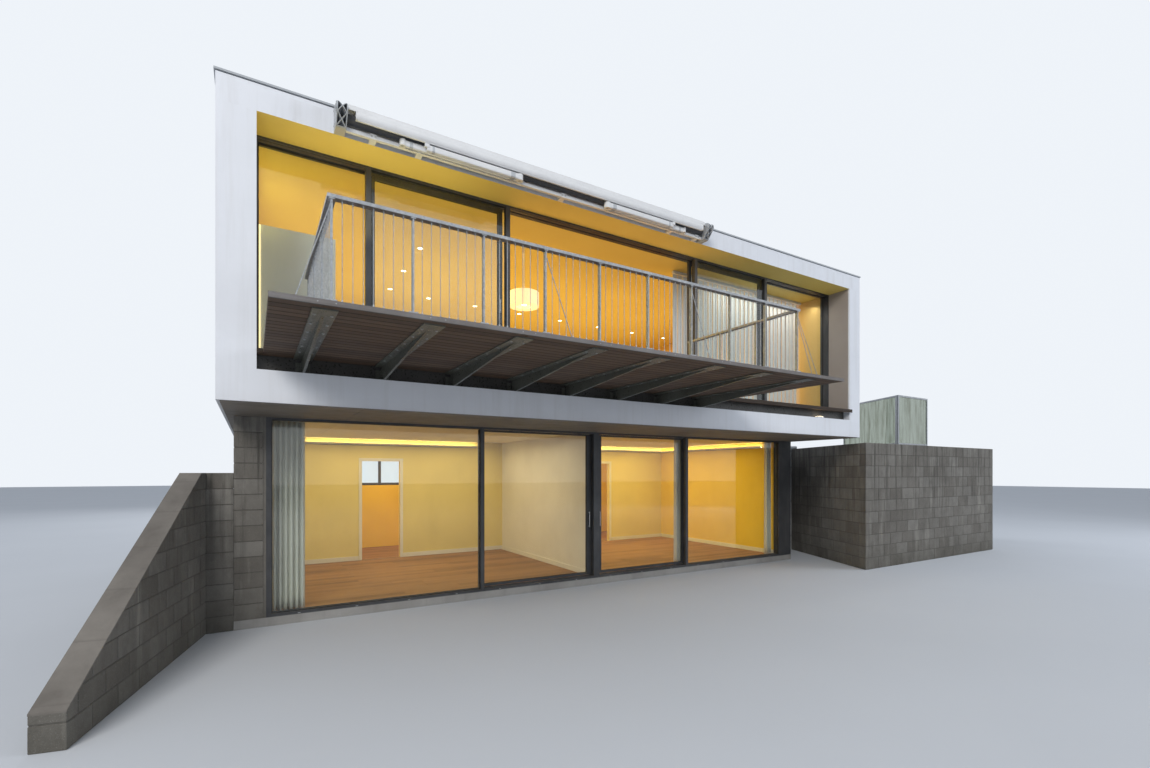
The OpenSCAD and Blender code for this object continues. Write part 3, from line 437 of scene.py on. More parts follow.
LOOKS = {
    "render": render_look(),
    "roof_slab": roof_slab_look(),
    "block": block_look(),
    "mortar": plain_look("mortar", 0.95, (30, 5, 0.7), (0.075, 0.069, 0.06), (0.13, 0.121, 0.107), 0.75,
                         (160, 4, 0.7), 0.002, 0.8),
    "slab": concrete_look("concrete", (0.24, 0.23, 0.215), (0.36, 0.35, 0.33)),
    "terrace_top": concrete_look("terrace_concrete", (0.22, 0.21, 0.195), (0.36, 0.345, 0.32)),
    "wing": concrete_look("wing_concrete", (0.125, 0.112, 0.098), (0.235, 0.215, 0.19), lines=0.3),
    "charcoal": painted_look("charcoal_aluminium", (0.03, 0.031, 0.034), rough=0.38, share=0.1),
    "glass": glass_look("window_glass"),
    "screen_glass": glass_look("screen_glass", (0.34, 0.38, 0.32), haze=0.5, shadow=0.7, film=(0.1, 0.11, 0.06)),
    "deck": board_look("deck_timber", (0.058, 0.034, 0.021), (0.158, 0.098, 0.06), (0.118, 0.08, 0.055),
                       seam=(DECK_LO[1] - DECK_GAP / 2, DECK_HI[1] + DECK_GAP, DECK_PITCH)),
    # Near-black bearers: the steel's dark paint darkened further as painted shade under the deck.
    "bearer": painted_look("bearer_steel_painted_shade", (0.028, 0.026, 0.022), rough=0.55, dust=(0.07, 0.06, 0.05)),
    "edge": board_look("edge_timber", (0.17, 0.155, 0.15), (0.33, 0.315, 0.31), (0.28, 0.275, 0.28)),
    "floor": board_look("floor_timber", (0.26, 0.125, 0.045), (0.46, 0.26, 0.11), (0.4, 0.23, 0.1), rough=0.4),
    "outrigger": painted_look("outrigger_steel", (0.075, 0.078, 0.062), rough=0.5,
                              dust=(0.17, 0.155, 0.13), share=0.25),
    "galvanised": metal_look("galvanised_steel", (0.46, 0.48, 0.5), 0.42),
    "satin": metal_look("satin_steel", (0.6, 0.61, 0.62), 0.28),
    "enamel": painted_look("awning_enamel", (0.7, 0.705, 0.71), rough=0.35, dust=(0.45, 0.43, 0.4), share=0.15),
    "cast": painted_look("cast_aluminium", (0.48, 0.5, 0.52), rough=0.45, metal=0.3, dust=(0.3, 0.29, 0.28)),
    "canvas": cloth_look("awning_canvas", (0.075, 0.078, 0.085), weave=700),
    "capping": painted_look("capping_metal", (0.46, 0.48, 0.5), rough=0.35, metal=0.5, dust=(0.34, 0.335, 0.33)),
    "membrane": membrane_look(),
    "lining": plaster_look("painted_lining", (0.8, 0.78, 0.72), (0.74, 0.72, 0.66)),
    "partition": plaster_look("partition_paint", (0.8, 0.78, 0.72), (0.72, 0.7, 0.64),
                              Y_PARTITION - 0.03, (0.82, 0.69, 0.26)),
    "yellow": plaster_look("warm_paint", (0.84, 0.62, 0.09), (0.78, 0.56, 0.07)),
    "soffit": soffit_look(),
    "blind": cloth_look("blind_cloth", (0.8, 0.8, 0.78), weave=1100),
    "curtain": cloth_look("curtain_cloth", (0.74, 0.71, 0.61), weave=800),
    "shade": cloth_look("lamp_shade", (0.95, 0.72, 0.36), glow=0.9),
    "pipe": painted_look("white_pipe", (0.66, 0.67, 0.68), share=0.22),
    "rubber": plain_look("gasket_rubber", 0.65, (30, 4, 0.6), (0.012,) * 3, (0.03,) * 3, 0.7,
                         (300, 3, 0.5), 0.0003, 0.4),
    "warm_lamp": glow_look("warm_lens", (1, 0.8, 0.5), 9),
    "cove": glow_look("cove_lens", (1, 0.84, 0.48), 11),
    "accent": glow_look("accent_lens", (1, 0.82, 0.42), 1.1),
}

# The nodes that each look goes to; block walls take the look of blocks
WORN_BY = {
    "slab": "ground_floor_slab", "terrace_top": "terrace_slab", "wing": "left_wing_wall",
    "render": "upper_floor_slab upper_left_wall upper_right_wall upper_rear_wall roof_parapet",
    "roof_slab": "roof_slab", "membrane": "roof_membrane", "capping": "roof_capping",
    "soffit": "overhang_lining",
    "charcoal": "lower_right_end_panel lower_window_frame rear_window_frames upper_window_frame "
                "upper_door_leaves left_door_frame right_door_frame",
    "glass": "lower_fixed_glass rear_window_glass upper_glass left_door_glass right_door_glass",
    "screen_glass": "terrace_screen_glass", "satin": "left_door_handle right_door_handle",
    "partition": "bedroom_partitions", "lining": "upper_low_partition", "floor": "upper_timber_floor",
    "deck": "balcony_deck balcony_strip", "edge": "balcony_edge_board", "bearer": "balcony_bearers",
    "outrigger": "balcony_outriggers",
    "galvanised": "front_balustrade left_balustrade right_balustrade terrace_screen_frame",
    "cast": "awning_end_brackets", "canvas": "awning_roller",
    "enamel": "awning_torsion_bar awning_hood awning_front_bar awning_arms bedroom_curtain_tracks",
    "pipe": "downpipe", "shade": "pendant_lamp", "blind": "upper_blinds", "curtain": "bedroom_curtains",
}
look_of = {node: look for look, names in WORN_BY.items() for node in names.split()}
for name, node in NODES.items():
    node.data.materials.clear()
    node.data.materials.append(LOOKS[look_of.get(name, "block")])


# Mesh pieces

def turns(count):
    """Evenly spaced angles round a circle."""
    return [2 * math.pi * i / count for i in range(count)]


def unit_faces():
    """Faces of a chamfered box whose point 3 * corner + axis lies full out along that axis."""
    corners = product((-0.5, 0.5), repeat=3)
    spots = [Vector([c[k] * (1 if k == a else 0.8) for k in range(3)]) for c in corners for a in range(3)]

    def point(a, s, u, v, k):
        """The point along axis k of the corner at s on axis a and at u and v on the next two."""
        at = {a: s, (a + 1) % 3: u, (a + 2) % 3: v}
        return 3 * (4 * at[0] + 2 * at[1] + at[2]) + k % 3

    faces = []
    for a in range(3):
        faces += [[point(a, s, u, v, a) for u, v in ((0, 0), (1, 0), (1, 1), (0, 1))] for s in (0, 1)]
        faces += [[point(a, s, u, v, a + k) for s, k in ((0, 1), (1, 1), (1, 2), (0, 2))]
                  for u, v in product((0, 1), repeat=2)]
    faces += [[3 * i, 3 * i + 1, 3 * i + 2] for i in range(8)]
    turned = []
    for face in faces:
        a, b, c = [spots[i] for i in face[:3]]
        outward = (b - a).cross(c - a).dot(sum((spots[i] for i in face), Vector())) > 0
        turned.append(face if outward else face[::-1])
    return turned


CHAMFERED = unit_faces()
PLAIN = [[0, 1, 3, 2], [4, 6, 7, 5], [0, 4, 5, 1], [2, 3, 7, 6], [0, 2, 6, 4], [1, 5, 7, 3]]


class Pile:
    """Closed solids gathered into one mesh, each with a tint of its own."""

    def __init__(self):
        self.points, self.faces, self.kinds, self.tints = [], [], [], []

    def solid(self, points, faces, kind=0, tint=None):
        start = len(self.points)
        shade = tint or (RNG.random(), RNG.random(), RNG.random())
        self.points += points
        self.tints += [shade] * len(points)
        self.faces += [[start + i for i in face] for face in faces]
        self.kinds += [kind] * len(faces)

    def box(self, a, b, edge=0, kind=0, tint=None, place=Vector):
        """A box between two opposite corners, its edges cut off by edge."""
        pairs = [sorted(pair) for pair in zip(a, b)]
        middle = [(lo + hi) / 2 for lo, hi in pairs]
        half = [(hi - lo) / 2 for lo, hi in pairs]
        edge = min(edge, 0.9 * min(half))
        points = []
        for signs in product(BOTH, repeat=3):
            for full in range(3 if edge > 0 else 1):
                points.append(place(Vector([m + s * (h - edge * (k != full))
                                            for k, (m, s, h) in enumerate(zip(middle, signs, half))])))
        self.solid(points, CHAMFERED if edge > 0 else PLAIN, kind, tint)

    def rod(self, start, end, radius, sides=12, kind=0, tip=None):
        """A round bar, with its end drawn in to the tip radius over the last tenth if one is given."""
        start, end = Vector(start), Vector(end)
        axis = (end - start).normalized()
        side = axis.orthogonal().normalized()
        other = axis.cross(side)
        rings = [(start, radius), (end, radius)]
        if tip is not None:
            rings = [(start, radius), (start.lerp(end, 0.9), radius), (end, tip)]
        points = [centre + r * (math.cos(t) * side + math.sin(t) * other) for centre, r in rings
                  for t in turns(sides)]
        last = (len(rings) - 1) * sides
        faces = [[k + i, k + (i + 1) % sides, k + sides + (i + 1) % sides, k + sides + i]
                 for k in range(0, last, sides) for i in range(sides)]
        faces += [list(range(sides))[::-1], list(range(last, last + sides))]
        self.solid(points, faces, kind)

    def prism(self, outline, across):
        """A closed outline of points swept by the vector across."""
        count = len(outline)
        points = [Vector(p) for p in outline] + [Vector(p) + Vector(across) for p in outline]
        faces = [list(range(count))[::-1], list(range(count, 2 * count))]
        faces += [[i, (i + 1) % count, count + (i + 1) % count, count + i] for i in range(count)]
        self.solid(points, faces)

    def bolt(self, at, normal, radius=0.009, height=0.006, washer=True):
        """A hexagon head on a washer, standing on a face."""
        at, normal = Vector(at), Vector(normal).normalized()
        if washer:
            self.rod(at, at + normal * 0.002, radius * 1.7)
        self.rod(at, at + normal * height, radius, 6, tip=radius * 0.9)

    def drum(self, x, y, z0, z1, radius, wall=0.003, sides=64):
        """An open round sleeve."""
        points = [Vector((x + r * math.cos(t), y + r * math.sin(t), z))
                  for r in (radius, radius - wall) for z in (z0, z1) for t in turns(sides)]
        faces = []
        for i in range(sides):
            j = (i + 1) % sides
            o1, i0, i1 = sides, 2 * sides, 3 * sides
            faces += [[i, j, o1 + j, o1 + i], [i0 + j, i0 + i, i1 + i, i1 + j],
                      [o1 + i, o1 + j, i1 + j, i1 + i], [j, i, i0 + i, i0 + j]]
        self.solid(points, faces)

    def piece(self, name, looks, body="house", replaces=None, smooth=False, below=None):
        """The pile as one object; below gives a point and normal of a plane that cuts off what is above it."""
        mesh = bpy.data.meshes.new(name)
        mesh.from_pydata([tuple(p) for p in self.points], [], self.faces)
        for look in looks.split():
            mesh.materials.append(LOOKS[look])
        mesh.polygons.foreach_set("material_index", self.kinds)
        tint = mesh.color_attributes.new("tint", "FLOAT_COLOR", "POINT")
        tint.data.foreach_set("color", [v for t in self.tints for v in (*t, 1)])
        work = bmesh.new()
        work.from_mesh(mesh)
        if below is not None:
            cut = bmesh.ops.bisect_plane(work, geom=work.verts[:] + work.edges[:] + work.faces[:], dist=1e-6,
                                         plane_co=below[0], plane_no=below[1], clear_outer=True)
            rim = [e for e in cut["geom_cut"] if isinstance(e, bmesh.types.BMEdge)]
            bmesh.ops.holes_fill(work, edges=rim, sides=0)
        bmesh.ops.recalc_face_normals(work, faces=work.faces)
        work.to_mesh(mesh)
        work.free()
        if smooth:
            mesh.shade_smooth()
            mesh.set_sharp_from_angle(angle=math.radians(40))
        thing = placed(name, mesh)
        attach(thing, body)
        if replaces:
            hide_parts(replaces)


def without(rect, holes):
    """The parts of a rectangle (a0, a1, z0, z1) that lie outside all holes."""
    parts = [rect]
    for h in holes:
        left = []
        for a0, a1, z0, z1 in parts:
            if h[0] >= a1 or h[1] <= a0 or h[2] >= z1 or h[3] <= z0:
                left.append((a0, a1, z0, z1))
                continue
            m0, m1 = max(a0, h[0]), min(a1, h[1])
            left += [(a0, h[0], z0, z1), (h[1], a1, z0, z1), (m0, m1, z0, h[2]), (m0, m1, h[3], z1)]
        parts = [p for p in left if p[1] > p[0] and p[3] > p[2]]
    least = 0.012
    return [p for p in parts if p[1] - p[0] > least and p[3] - p[2] > least]


JOINT, RECESS, SLACK = 0.01, 0.005, 1e-4
COURSES, LOWER_COURSES, WING_COURSES = 11, 13, 10
BLOCK_L, LOWER_BLOCK_L, WING_BLOCK_L = 0.44, 0.39, 0.4


def block_wall(pile, corners, thick, z0, z1, courses, long, holes=(), start=0):
    """Running bond between four plan corners: chamfered blocks over a recessed bed of mortar."""
    p00, p10, p11, p01 = [Vector(c) for c in corners]
    length = (p10 - p00).length

    def put(p):
        """Maps length along, metres across and height onto the wall's plan."""
        u, v = p.x / length, p.y / thick
        flat = p00.lerp(p10, u).lerp(p01.lerp(p11, u), v)
        return Vector((flat.x, flat.y, p.z))

    rise = (z1 - z0) / courses
    for k in range(courses):
        low = z0 + k * rise
        ends = [0, long / 2 if (k + start) % 2 else long]
        while ends[-1] < length - 0.1:
            ends.append(ends[-1] + long)
        ends[-1] = length
        for a0, a1 in zip(ends, ends[1:]):
            for b0, b1, c0, c1 in without((a0, a1, low, low + rise), holes):
                gap = [JOINT / 2 if SLACK < end < length - SLACK else 0 for end in (b0, b1)]
                gap += [JOINT / 2 if c0 > z0 + SLACK else 0, JOINT / 2 if c1 < z1 - SLACK else 0]
                jog = RNG.uniform(0, 0.0012)
                pile.box((b0 + gap[0], jog, c0 + gap[2]), (b1 - gap[1], thick - jog, c1 - gap[3]), 0.004,
                         place=put)
                bed = [0 if g else RECESS for g in gap]
                pile.box((b0 + bed[0], RECESS, c0 + bed[2]), (b1 - bed[1], thick - RECESS, c1 - bed[3]),
                         kind=1, place=put)


def boards(pile, lo, hi, rows, gap, joints, most, edge=0.0012):
    """Rows of boards laid along X, cut at some of the joints so that few are longer than most."""
    wide = (hi[1] - lo[1] + gap) / rows
    least, end_gap = 1.2, 0.0015
    spots = [x for x in joints if lo[0] + 0.5 < x < hi[0] - 0.5]
    for i in range(rows):
        y = lo[1] + i * wide
        cuts = [lo[0]]
        while hi[0] - cuts[-1] > most:
            near = [x for x in spots if least < x - cuts[-1] <= most]
            if not near:
                break
            cuts.append(RNG.choice(near))
        cuts.append(hi[0])
        for x0, x1 in zip(cuts, cuts[1:]):
            top = hi[2] - RNG.uniform(0, 0.0012)
            pile.box((x0 + end_gap * (x0 > lo[0]), y, lo[2]), (x1 - end_gap * (x1 < hi[0]), y + wide - gap, top),
                     edge)


# Block walls: terrace, link and the lower storey

SKEW = math.radians(25)
TERRACE = Vector(BOX["terrace_front_wall"][0][:2])
TERRACE_H = BOX["terrace_front_wall"][1][2]
WALL = 0.19
WALL_S = WALL / math.cos(SKEW)
TERRACE_S = (BOX["terrace_left_wall"][1][1] - TERRACE.y) / math.cos(SKEW)
TERRACE_W = BOX["terrace_front_wall"][1][0] - TERRACE.x - WALL_S * math.sin(SKEW)
LINK_Y0, LINK_Y1 = span("terrace_link_wall", "Y")


def skewed(x, s):
    """A place on the terrace by metres along its front and along its skewed side."""
    return TERRACE + Vector((x + s * math.sin(SKEW), s * math.cos(SKEW)))


def front_run(x0, x1, s0, s1):
    return skewed(x0, s0), skewed(x1, s0), skewed(x1, s1), skewed(x0, s1)


def side_run(x0, x1, s0, s1):
    return skewed(x0, s0), skewed(x0, s1), skewed(x1, s1), skewed(x1, s0)


link_s0, link_s1 = [(y - TERRACE.y) / math.cos(SKEW) for y in (LINK_Y0, LINK_Y1)]
for name, node, walls in (
        ("terrace_front_blocks", "terrace_front_wall", [(front_run(0, TERRACE_W, 0, WALL_S), 0)]),
        ("terrace_left_blocks", "terrace_left_wall", [(side_run(0, WALL_S, WALL_S, TERRACE_S), 1)]),
        ("terrace_rear_blocks", "terrace_rear_walls", [
            (side_run(TERRACE_W - WALL_S, TERRACE_W, WALL_S, TERRACE_S), 1),
            (front_run(WALL_S, TERRACE_W - WALL_S, TERRACE_S - WALL_S, TERRACE_S), 0)]),
        ("terrace_link_blocks", "terrace_link_wall", [
            (((LOW_OUT, LINK_Y0), skewed(0, link_s0), skewed(0, link_s1), (LOW_OUT, LINK_Y1)), 0)])):
    terrace = Pile()
    for corners, start in walls:
        block_wall(terrace, corners, WALL, 0, TERRACE_H, COURSES, BLOCK_L, start=start)
    terrace.piece(name, "block mortar", replaces=node)

LINER = 0.03
REAR_OUT = LOW_IN + LINER
RIGHT_Y = BOX["lower_right_wall"][0][1]
for side, s, y0, room_y, look in (("left", -1, Y_LOW, Y_LOW_BACK, "lining"),
                                  ("right", 1, RIGHT_Y, RIGHT_Y, "yellow")):
    plan = [(s * x, y) for x, y in ((LOW_OUT, y0), (LOW_OUT, REAR), (REAR_OUT, REAR), (REAR_OUT, y0))]
    low_side = Pile()
    block_wall(low_side, plan, LOW_OUT - REAR_OUT, Z_SLAB, Z_LINING, LOWER_COURSES, LOWER_BLOCK_L)
    low_side.box((s * REAR_OUT, room_y, Z_SLAB), (s * LOW_IN, REAR_IN + LINER, Z_LINING), kind=2)
    if room_y > y0:
        low_side.box((s * REAR_OUT, y0, Z_SLAB), (s * LOW_IN, room_y, Z_LINING), tint=(0.35, 0.5, 0.5))
    low_side.piece(f"lower_{side}_blocks", "block mortar " + look,
                   replaces=f"lower_{side}_wall")

# Rear windows: half width, foot and head
WIN_X = 0.47 * IN_W
LOW_WIN, UP_WIN = (0.55, Z_SLAB + 1.5, Z_SLAB + 2.2), (0.85, Z_DECK + 0.95, Z_DECK + 2.05)
REAR_WINDOWS = [(s * WIN_X, *window) for s in BOTH for window in (LOW_WIN, UP_WIN)]
holes = [(REAR_OUT + x - half, REAR_OUT + x + half, foot, head) for x, half, foot, head in REAR_WINDOWS[::2]]
back_y = REAR_IN + LINER
low_rear = Pile()
block_wall(low_rear, ((-REAR_OUT, REAR), (REAR_OUT, REAR), (REAR_OUT, back_y), (-REAR_OUT, back_y)),
           REAR - REAR_IN - LINER, Z_SLAB, Z_LINING, LOWER_COURSES, LOWER_BLOCK_L, holes=holes)
for a0, a1, z0, z1 in without((LINER, LINER + 2 * LOW_IN, Z_SLAB, Z_LINING), holes):
    low_rear.box((a0 - REAR_OUT, REAR_IN, z0), (a1 - REAR_OUT, back_y, z1), kind=2)
low_rear.piece("lower_rear_blocks", "block mortar yellow", replaces="lower_rear_wall")

# The wing wall: a short return and a wall whose top is cut by the plane of the rake
WING_T, WING_L, WING_TURN, WING_OFF = 0.215, 2.95, math.radians(13), 0.23
RAKE_START, RAKE_TOE, RAKE_PAST = 0.3, 0.26, 0.1
CAP = 0.014
wing_h = BOX["left_wing_wall"][1][2]
ALONG = Vector((-math.sin(WING_TURN), -math.cos(WING_TURN)))
ACROSS = Vector((math.cos(WING_TURN), -math.sin(WING_TURN)))
knee = Vector((-LOW_OUT - WING_OFF - WING_T, Y_LOW + WING_T))
toe = knee + WING_L * ALONG
inner = knee + WING_T * ACROSS
crook = inner + (inner.y - Y_LOW) / math.cos(WING_TURN) * ALONG
pitch = (wing_h - RAKE_TOE) / (WING_L - RAKE_START)
rake_t = RAKE_START + RAKE_PAST * math.sin(WING_TURN)
toe_z = wing_h - pitch * (WING_L - rake_t)


def raked(t, z):
    return (knee.x + t * ALONG.x, knee.y + t * ALONG.y, z)


wing = Pile()
for start, plan in enumerate((((-LOW_OUT, Y_LOW), crook, knee, (-LOW_OUT, knee.y)),
                              (knee, toe, toe + WING_T * ACROSS, crook))):
    block_wall(wing, plan, WING_T, 0, wing_h, WING_COURSES, WING_BLOCK_L, start=start)
wing.piece("wing_wall_blocks", "block mortar", replaces="left_wing_wall",
           below=(raked(rake_t, wing_h - CAP), (ALONG.x * pitch, ALONG.y * pitch, 1)))
cap = Pile()
cap.prism([raked(rake_t - CAP / pitch, wing_h), raked(rake_t, wing_h), raked(WING_L, toe_z),
           raked(WING_L, toe_z - CAP)], (WING_T * ACROSS.x, WING_T * ACROSS.y, 0))
cap.piece("wing_wall_cap", "wing")


# Timber: balcony boards, strip boards and both floors

OUTRIGGERS = [-4.542 + 0.798 * i for i in range(8)]
FLOOR_GAP, FLOOR_T, PITCH_X = 0.0012, 0.012, 0.45
FLOOR_JOINTS = [-3.4 + PITCH_X * i for i in range(16)]
deck = Pile()
boards(deck, DECK_LO, DECK_HI, DECK_ROWS, DECK_GAP, OUTRIGGERS, 3.9, 0.004)
deck.piece("balcony_boards", "deck", replaces="balcony_deck")
screws = Pile()
for x, i, part in product(OUTRIGGERS, range(DECK_ROWS), (0.25, 0.75)):
    y = DECK_LO[1] + (i + part) * DECK_PITCH - DECK_GAP / 2
    screws.rod((x, y, DECK_HI[2] - 0.002), (x, y, DECK_HI[2] + 0.0006), 0.0055, 8)
screws.piece("deck_screws", "satin")
lo, hi = BOX["balcony_strip"]
strip = Pile()
boards(strip, (lo[0], lo[1], Z_JOIST), hi, 5, 0.006, [-3, -1.5, 0, 1.5, 3], 3.9, 0.003)
strip.box((DECK_HI[0], lo[1], lo[2]), (hi[0], lo[1] + 0.02, Z_JOIST), 0.002)
strip.piece("strip_boards", "deck", replaces="balcony_strip")

lo, hi = BOX["upper_timber_floor"]
upper = Pile()
upper.box(lo, (hi[0], hi[1], hi[2] - 0.02), kind=1)
boards(upper, (lo[0], lo[1], hi[2] - 0.02), hi, 50, FLOOR_GAP, FLOOR_JOINTS, 3.6)
upper.piece("upper_floor_boards", "floor slab", replaces="upper_timber_floor")
rooms = Pile()
for x0, x1 in ((-LOW_IN, WALL_L), (WALL_R, LOW_IN)):
    boards(rooms, (x0, Y_LOW_BACK, Z_SLAB), (x1, Y_PARTITION, Z_SLAB + FLOOR_T), 27, FLOOR_GAP,
           [x0 + PITCH_X * i for i in range(2, 11)], 3)
boards(rooms, (-LOW_IN, Y_PARTITION + PARTITION, Z_SLAB), (LOW_IN, REAR_IN, Z_SLAB + FLOOR_T), 14, FLOOR_GAP,
       FLOOR_JOINTS, 3.6)
rooms.piece("bedroom_floor_boards", "floor")


# Soffit sheets and roof

lo, hi = BOX["overhang_lining"]
sheets = Pile()
SHEETS, HALF_JOINT = 8, 0.002
step = (hi[0] - lo[0]) / SHEETS
rows = [lo[1], Y_LOW - 0.02, Y_LOW + 2.4, Y_LOW + 4.8, hi[1]]
for i, (y0, y1) in product(range(SHEETS), list(zip(rows, rows[1:]))):
    sheets.box((lo[0] + i * step + HALF_JOINT, y0 + HALF_JOINT, lo[2]),
               (lo[0] + (i + 1) * step - HALF_JOINT, y1 - HALF_JOINT, hi[2]), 0.0012)
sheets.piece("soffit_sheets", "soffit", replaces="overhang_lining")

(x0, y0, _), (x1, y1, top) = BOX["roof_membrane"]
LAP, UPSTAND, LAPS = 0.09, 0.07, 10
laps = Pile()
for i in range(1, LAPS):
    x = x0 + i * (x1 - x0) / LAPS
    laps.box((x, y0 + 0.02, top - 0.001), (x + LAP, y1 - 0.02, top + 0.0025), 0.001)
for a, b in (((x0, y0), (x1, y0 + UPSTAND)), ((x0, y1 - UPSTAND), (x1, y1)),
             ((x0, y0), (x0 + UPSTAND, y1)), ((x1 - UPSTAND, y0), (x1, y1))):
    laps.box((*a, top - 0.001), (*b, top + 0.004), 0.001)
laps.piece("membrane_laps", "membrane")
OUTLET_X, OUTLET_Y = 3.2, 2.5
outlet = Pile()
for x in (-OUTLET_X, OUTLET_X):
    outlet.rod((x, OUTLET_Y, top), (x, OUTLET_Y, top + 0.006), 0.11, 28)
    for turn in turns(12):
        ray = Vector((math.cos(turn), math.sin(turn), 0))
        foot = Vector((x, OUTLET_Y, top + 0.004)) + ray * 0.075
        outlet.rod(foot, foot - ray * 0.02 + Vector((0, 0, 0.03)), 0.004, 6)
    outlet.rod((x, OUTLET_Y, top + 0.03), (x, OUTLET_Y, top + 0.038), 0.06, 24)
outlet.piece("roof_outlets", "cast", smooth=True)

lo, hi = BOX["roof_capping"]
CAPPING_W, COVER = 0.148, 0.0006
seams = Pile()
for i, y in product(range(1, 5), (lo[1], hi[1] - CAPPING_W)):
    x = lo[0] + i * (hi[0] - lo[0]) / 5
    seams.box((x - 0.03, y - COVER, lo[2] + 0.001), (x + 0.03, y + CAPPING_W + COVER, hi[2] - 0.0002), 0.0004)
seams.piece("capping_joints", "capping")


# Glazing details

def pane_seal(pile, x0, x1, z0, z1, y, depth=0.024):
    """A rubber line round a pane that lies in a plane of constant y."""
    w = 0.008
    for a0, a1, b0, b1 in ((x0, x0 + w, z0, z1), (x1 - w, x1, z0, z1),
                           (x0 + w, x1 - w, z0, z0 + w), (x0 + w, x1 - w, z1 - w, z1)):
        pile.box((a0, y - depth / 2, b0), (a1, y + depth / 2, b1), 0.0015)


Z_SILL, Z_HEAD = span("upper_glass", "Z")
MULLIONS = [share * IN_W for share in (-0.7726, -0.4155, 0.2714, 0.6204)]
HALF, STILE, JAMB = 0.03, 0.062, 0.016
LEAF_LO, LEAF_HI = BOX["upper_door_leaves"]
Y_LEAF, Y_FIXED = middle("upper_door_leaves", "Y"), Y_UP + 0.035
LEAVES = ((LEAF_LO[0], MULLIONS[1] - 0.04), (MULLIONS[2] - 0.04 - HALF, LEAF_HI[0]))
seals = Pile()
for x0, x1, y in ((-IN_W + JAMB, MULLIONS[0] - 0.01, Y_LEAF), (MULLIONS[0] + HALF, MULLIONS[1] - HALF, Y_FIXED),
                  (MULLIONS[2] + HALF, MULLIONS[3] - HALF, Y_FIXED), (MULLIONS[3] + 0.01, IN_W - JAMB, Y_LEAF)):
    pane_seal(seals, x0, x1, Z_SILL, Z_HEAD, y)
for x0, x1 in LEAVES:
    pane_seal(seals, x0 + STILE, x1 - STILE, Z_SILL + STILE, Z_HEAD - STILE, Y_LEAF, 0.02)
low_lo, low_hi = BOX["lower_fixed_glass"]
for x0, x1 in ((low_lo[0], BOX["left_door_frame"][0][0]), (BOX["right_door_frame"][1][0], low_hi[0])):
    pane_seal(seals, x0, x1, low_lo[2], low_hi[2], middle("lower_fixed_glass", "Y"))
SASH, REVEAL = 0.05, 0.04
for x, half, foot, head in REAR_WINDOWS:
    for x0, x1 in ((x - half + SASH, x - SASH / 2), (x + SASH / 2, x + half - SASH)):
        pane_seal(seals, x0, x1, foot + SASH, head - SASH, REAR - 2 * REVEAL)
seals.piece("pane_seals", "rubber")
for side in ("left", "right"):
    lo, hi = BOX[side + "_door_glass"]
    door_seal = Pile()
    pane_seal(door_seal, lo[0], hi[0], lo[2], hi[2], (lo[1] + hi[1]) / 2, 0.02)
    door_seal.piece(side + "_door_seal", "rubber", body=side + "_door")

tracks = Pile()
for y in (Y_UP + 0.08, Y_UP_BACK - 0.02):
    tracks.box((MULLIONS[0] + 0.012, y, Z_SILL), (MULLIONS[3] - 0.012, y + 0.006, Z_SILL + 0.007), 0.001)
for i in range(14):
    x = -4.5 + i * 0.69
    tracks.box((x, Y_LOW - 0.0012, Z_SLAB + 0.01), (x + 0.03, Y_LOW + 0.004, Z_SLAB + 0.016), 0.0006)
tracks.piece("track_trims", "satin")

PULL_Z = Z_DECK + 1.02
pulls = Pile()
for x, (y, out) in product((LEAVES[0][1] - STILE / 2, LEAVES[1][0] + STILE / 2),
                           ((LEAF_LO[1], -0.004), (LEAF_HI[1], 0.004))):
    pulls.box((x - 0.013, y, PULL_Z - 0.09), (x + 0.013, y + out, PULL_Z + 0.09), 0.0015)
    pulls.box((x - 0.006, y, PULL_Z - 0.07), (x + 0.006, y + 2.2 * out, PULL_Z + 0.07), 0.0015)
pulls.piece("leaf_pulls", "satin")

# Architraves of the inner doorways, then skirtings, all of one board
TRIM_T, ARCHITRAVE, SKIRTING = 0.012, 0.06, 0.1
DOORWAY_X, DOORWAY_HALF, DOORWAY_TOP = 2.694, 0.38, Z_SLAB + 2.04
Z_BOARDS = Z_SLAB + FLOOR_T
trims = Pile()
for s, y in product(BOTH, (Y_PARTITION - TRIM_T, Y_PARTITION + PARTITION)):
    x0, x1, head = s * DOORWAY_X - DOORWAY_HALF, s * DOORWAY_X + DOORWAY_HALF, DOORWAY_TOP + ARCHITRAVE
    for a0, a1, foot in ((x0 - ARCHITRAVE, x0, Z_BOARDS), (x1, x1 + ARCHITRAVE, Z_BOARDS),
                         (x0, x1, DOORWAY_TOP)):
        trims.box((a0, y, foot), (a1, y + TRIM_T, head), 0.002)
runs = [(x0, x1, Y_PARTITION - TRIM_T, Y_PARTITION, Z_BOARDS)
        for x0, x1 in ((-LOW_IN, -3.14), (-2.25, WALL_L), (WALL_R, 2.25), (3.14, LOW_IN))]
runs += [(x, x + TRIM_T, Y_LOW_BACK + 0.01, Y_PARTITION - TRIM_T, Z_BOARDS)
         for x in (-LOW_IN, WALL_L - TRIM_T, WALL_R, LOW_IN - TRIM_T)]
runs += [(-IN_W, IN_W, Y_ROOM_END - TRIM_T, Y_ROOM_END, Z_DECK)]
runs += [(x, x + TRIM_T, y, Y_ROOM_END - TRIM_T, Z_DECK)
         for x, y in ((-IN_W, BOX["upper_low_partition"][1][1]), (IN_W - TRIM_T, Y_UP_BACK + 0.01))]
for x0, x1, y0, y1, z in runs:
    trims.box((x0, y0, z), (x1, y1, (Z_SLAB if z == Z_BOARDS else z) + SKIRTING), 0.002)
trims.piece("skirtings_and_architraves", "lining")

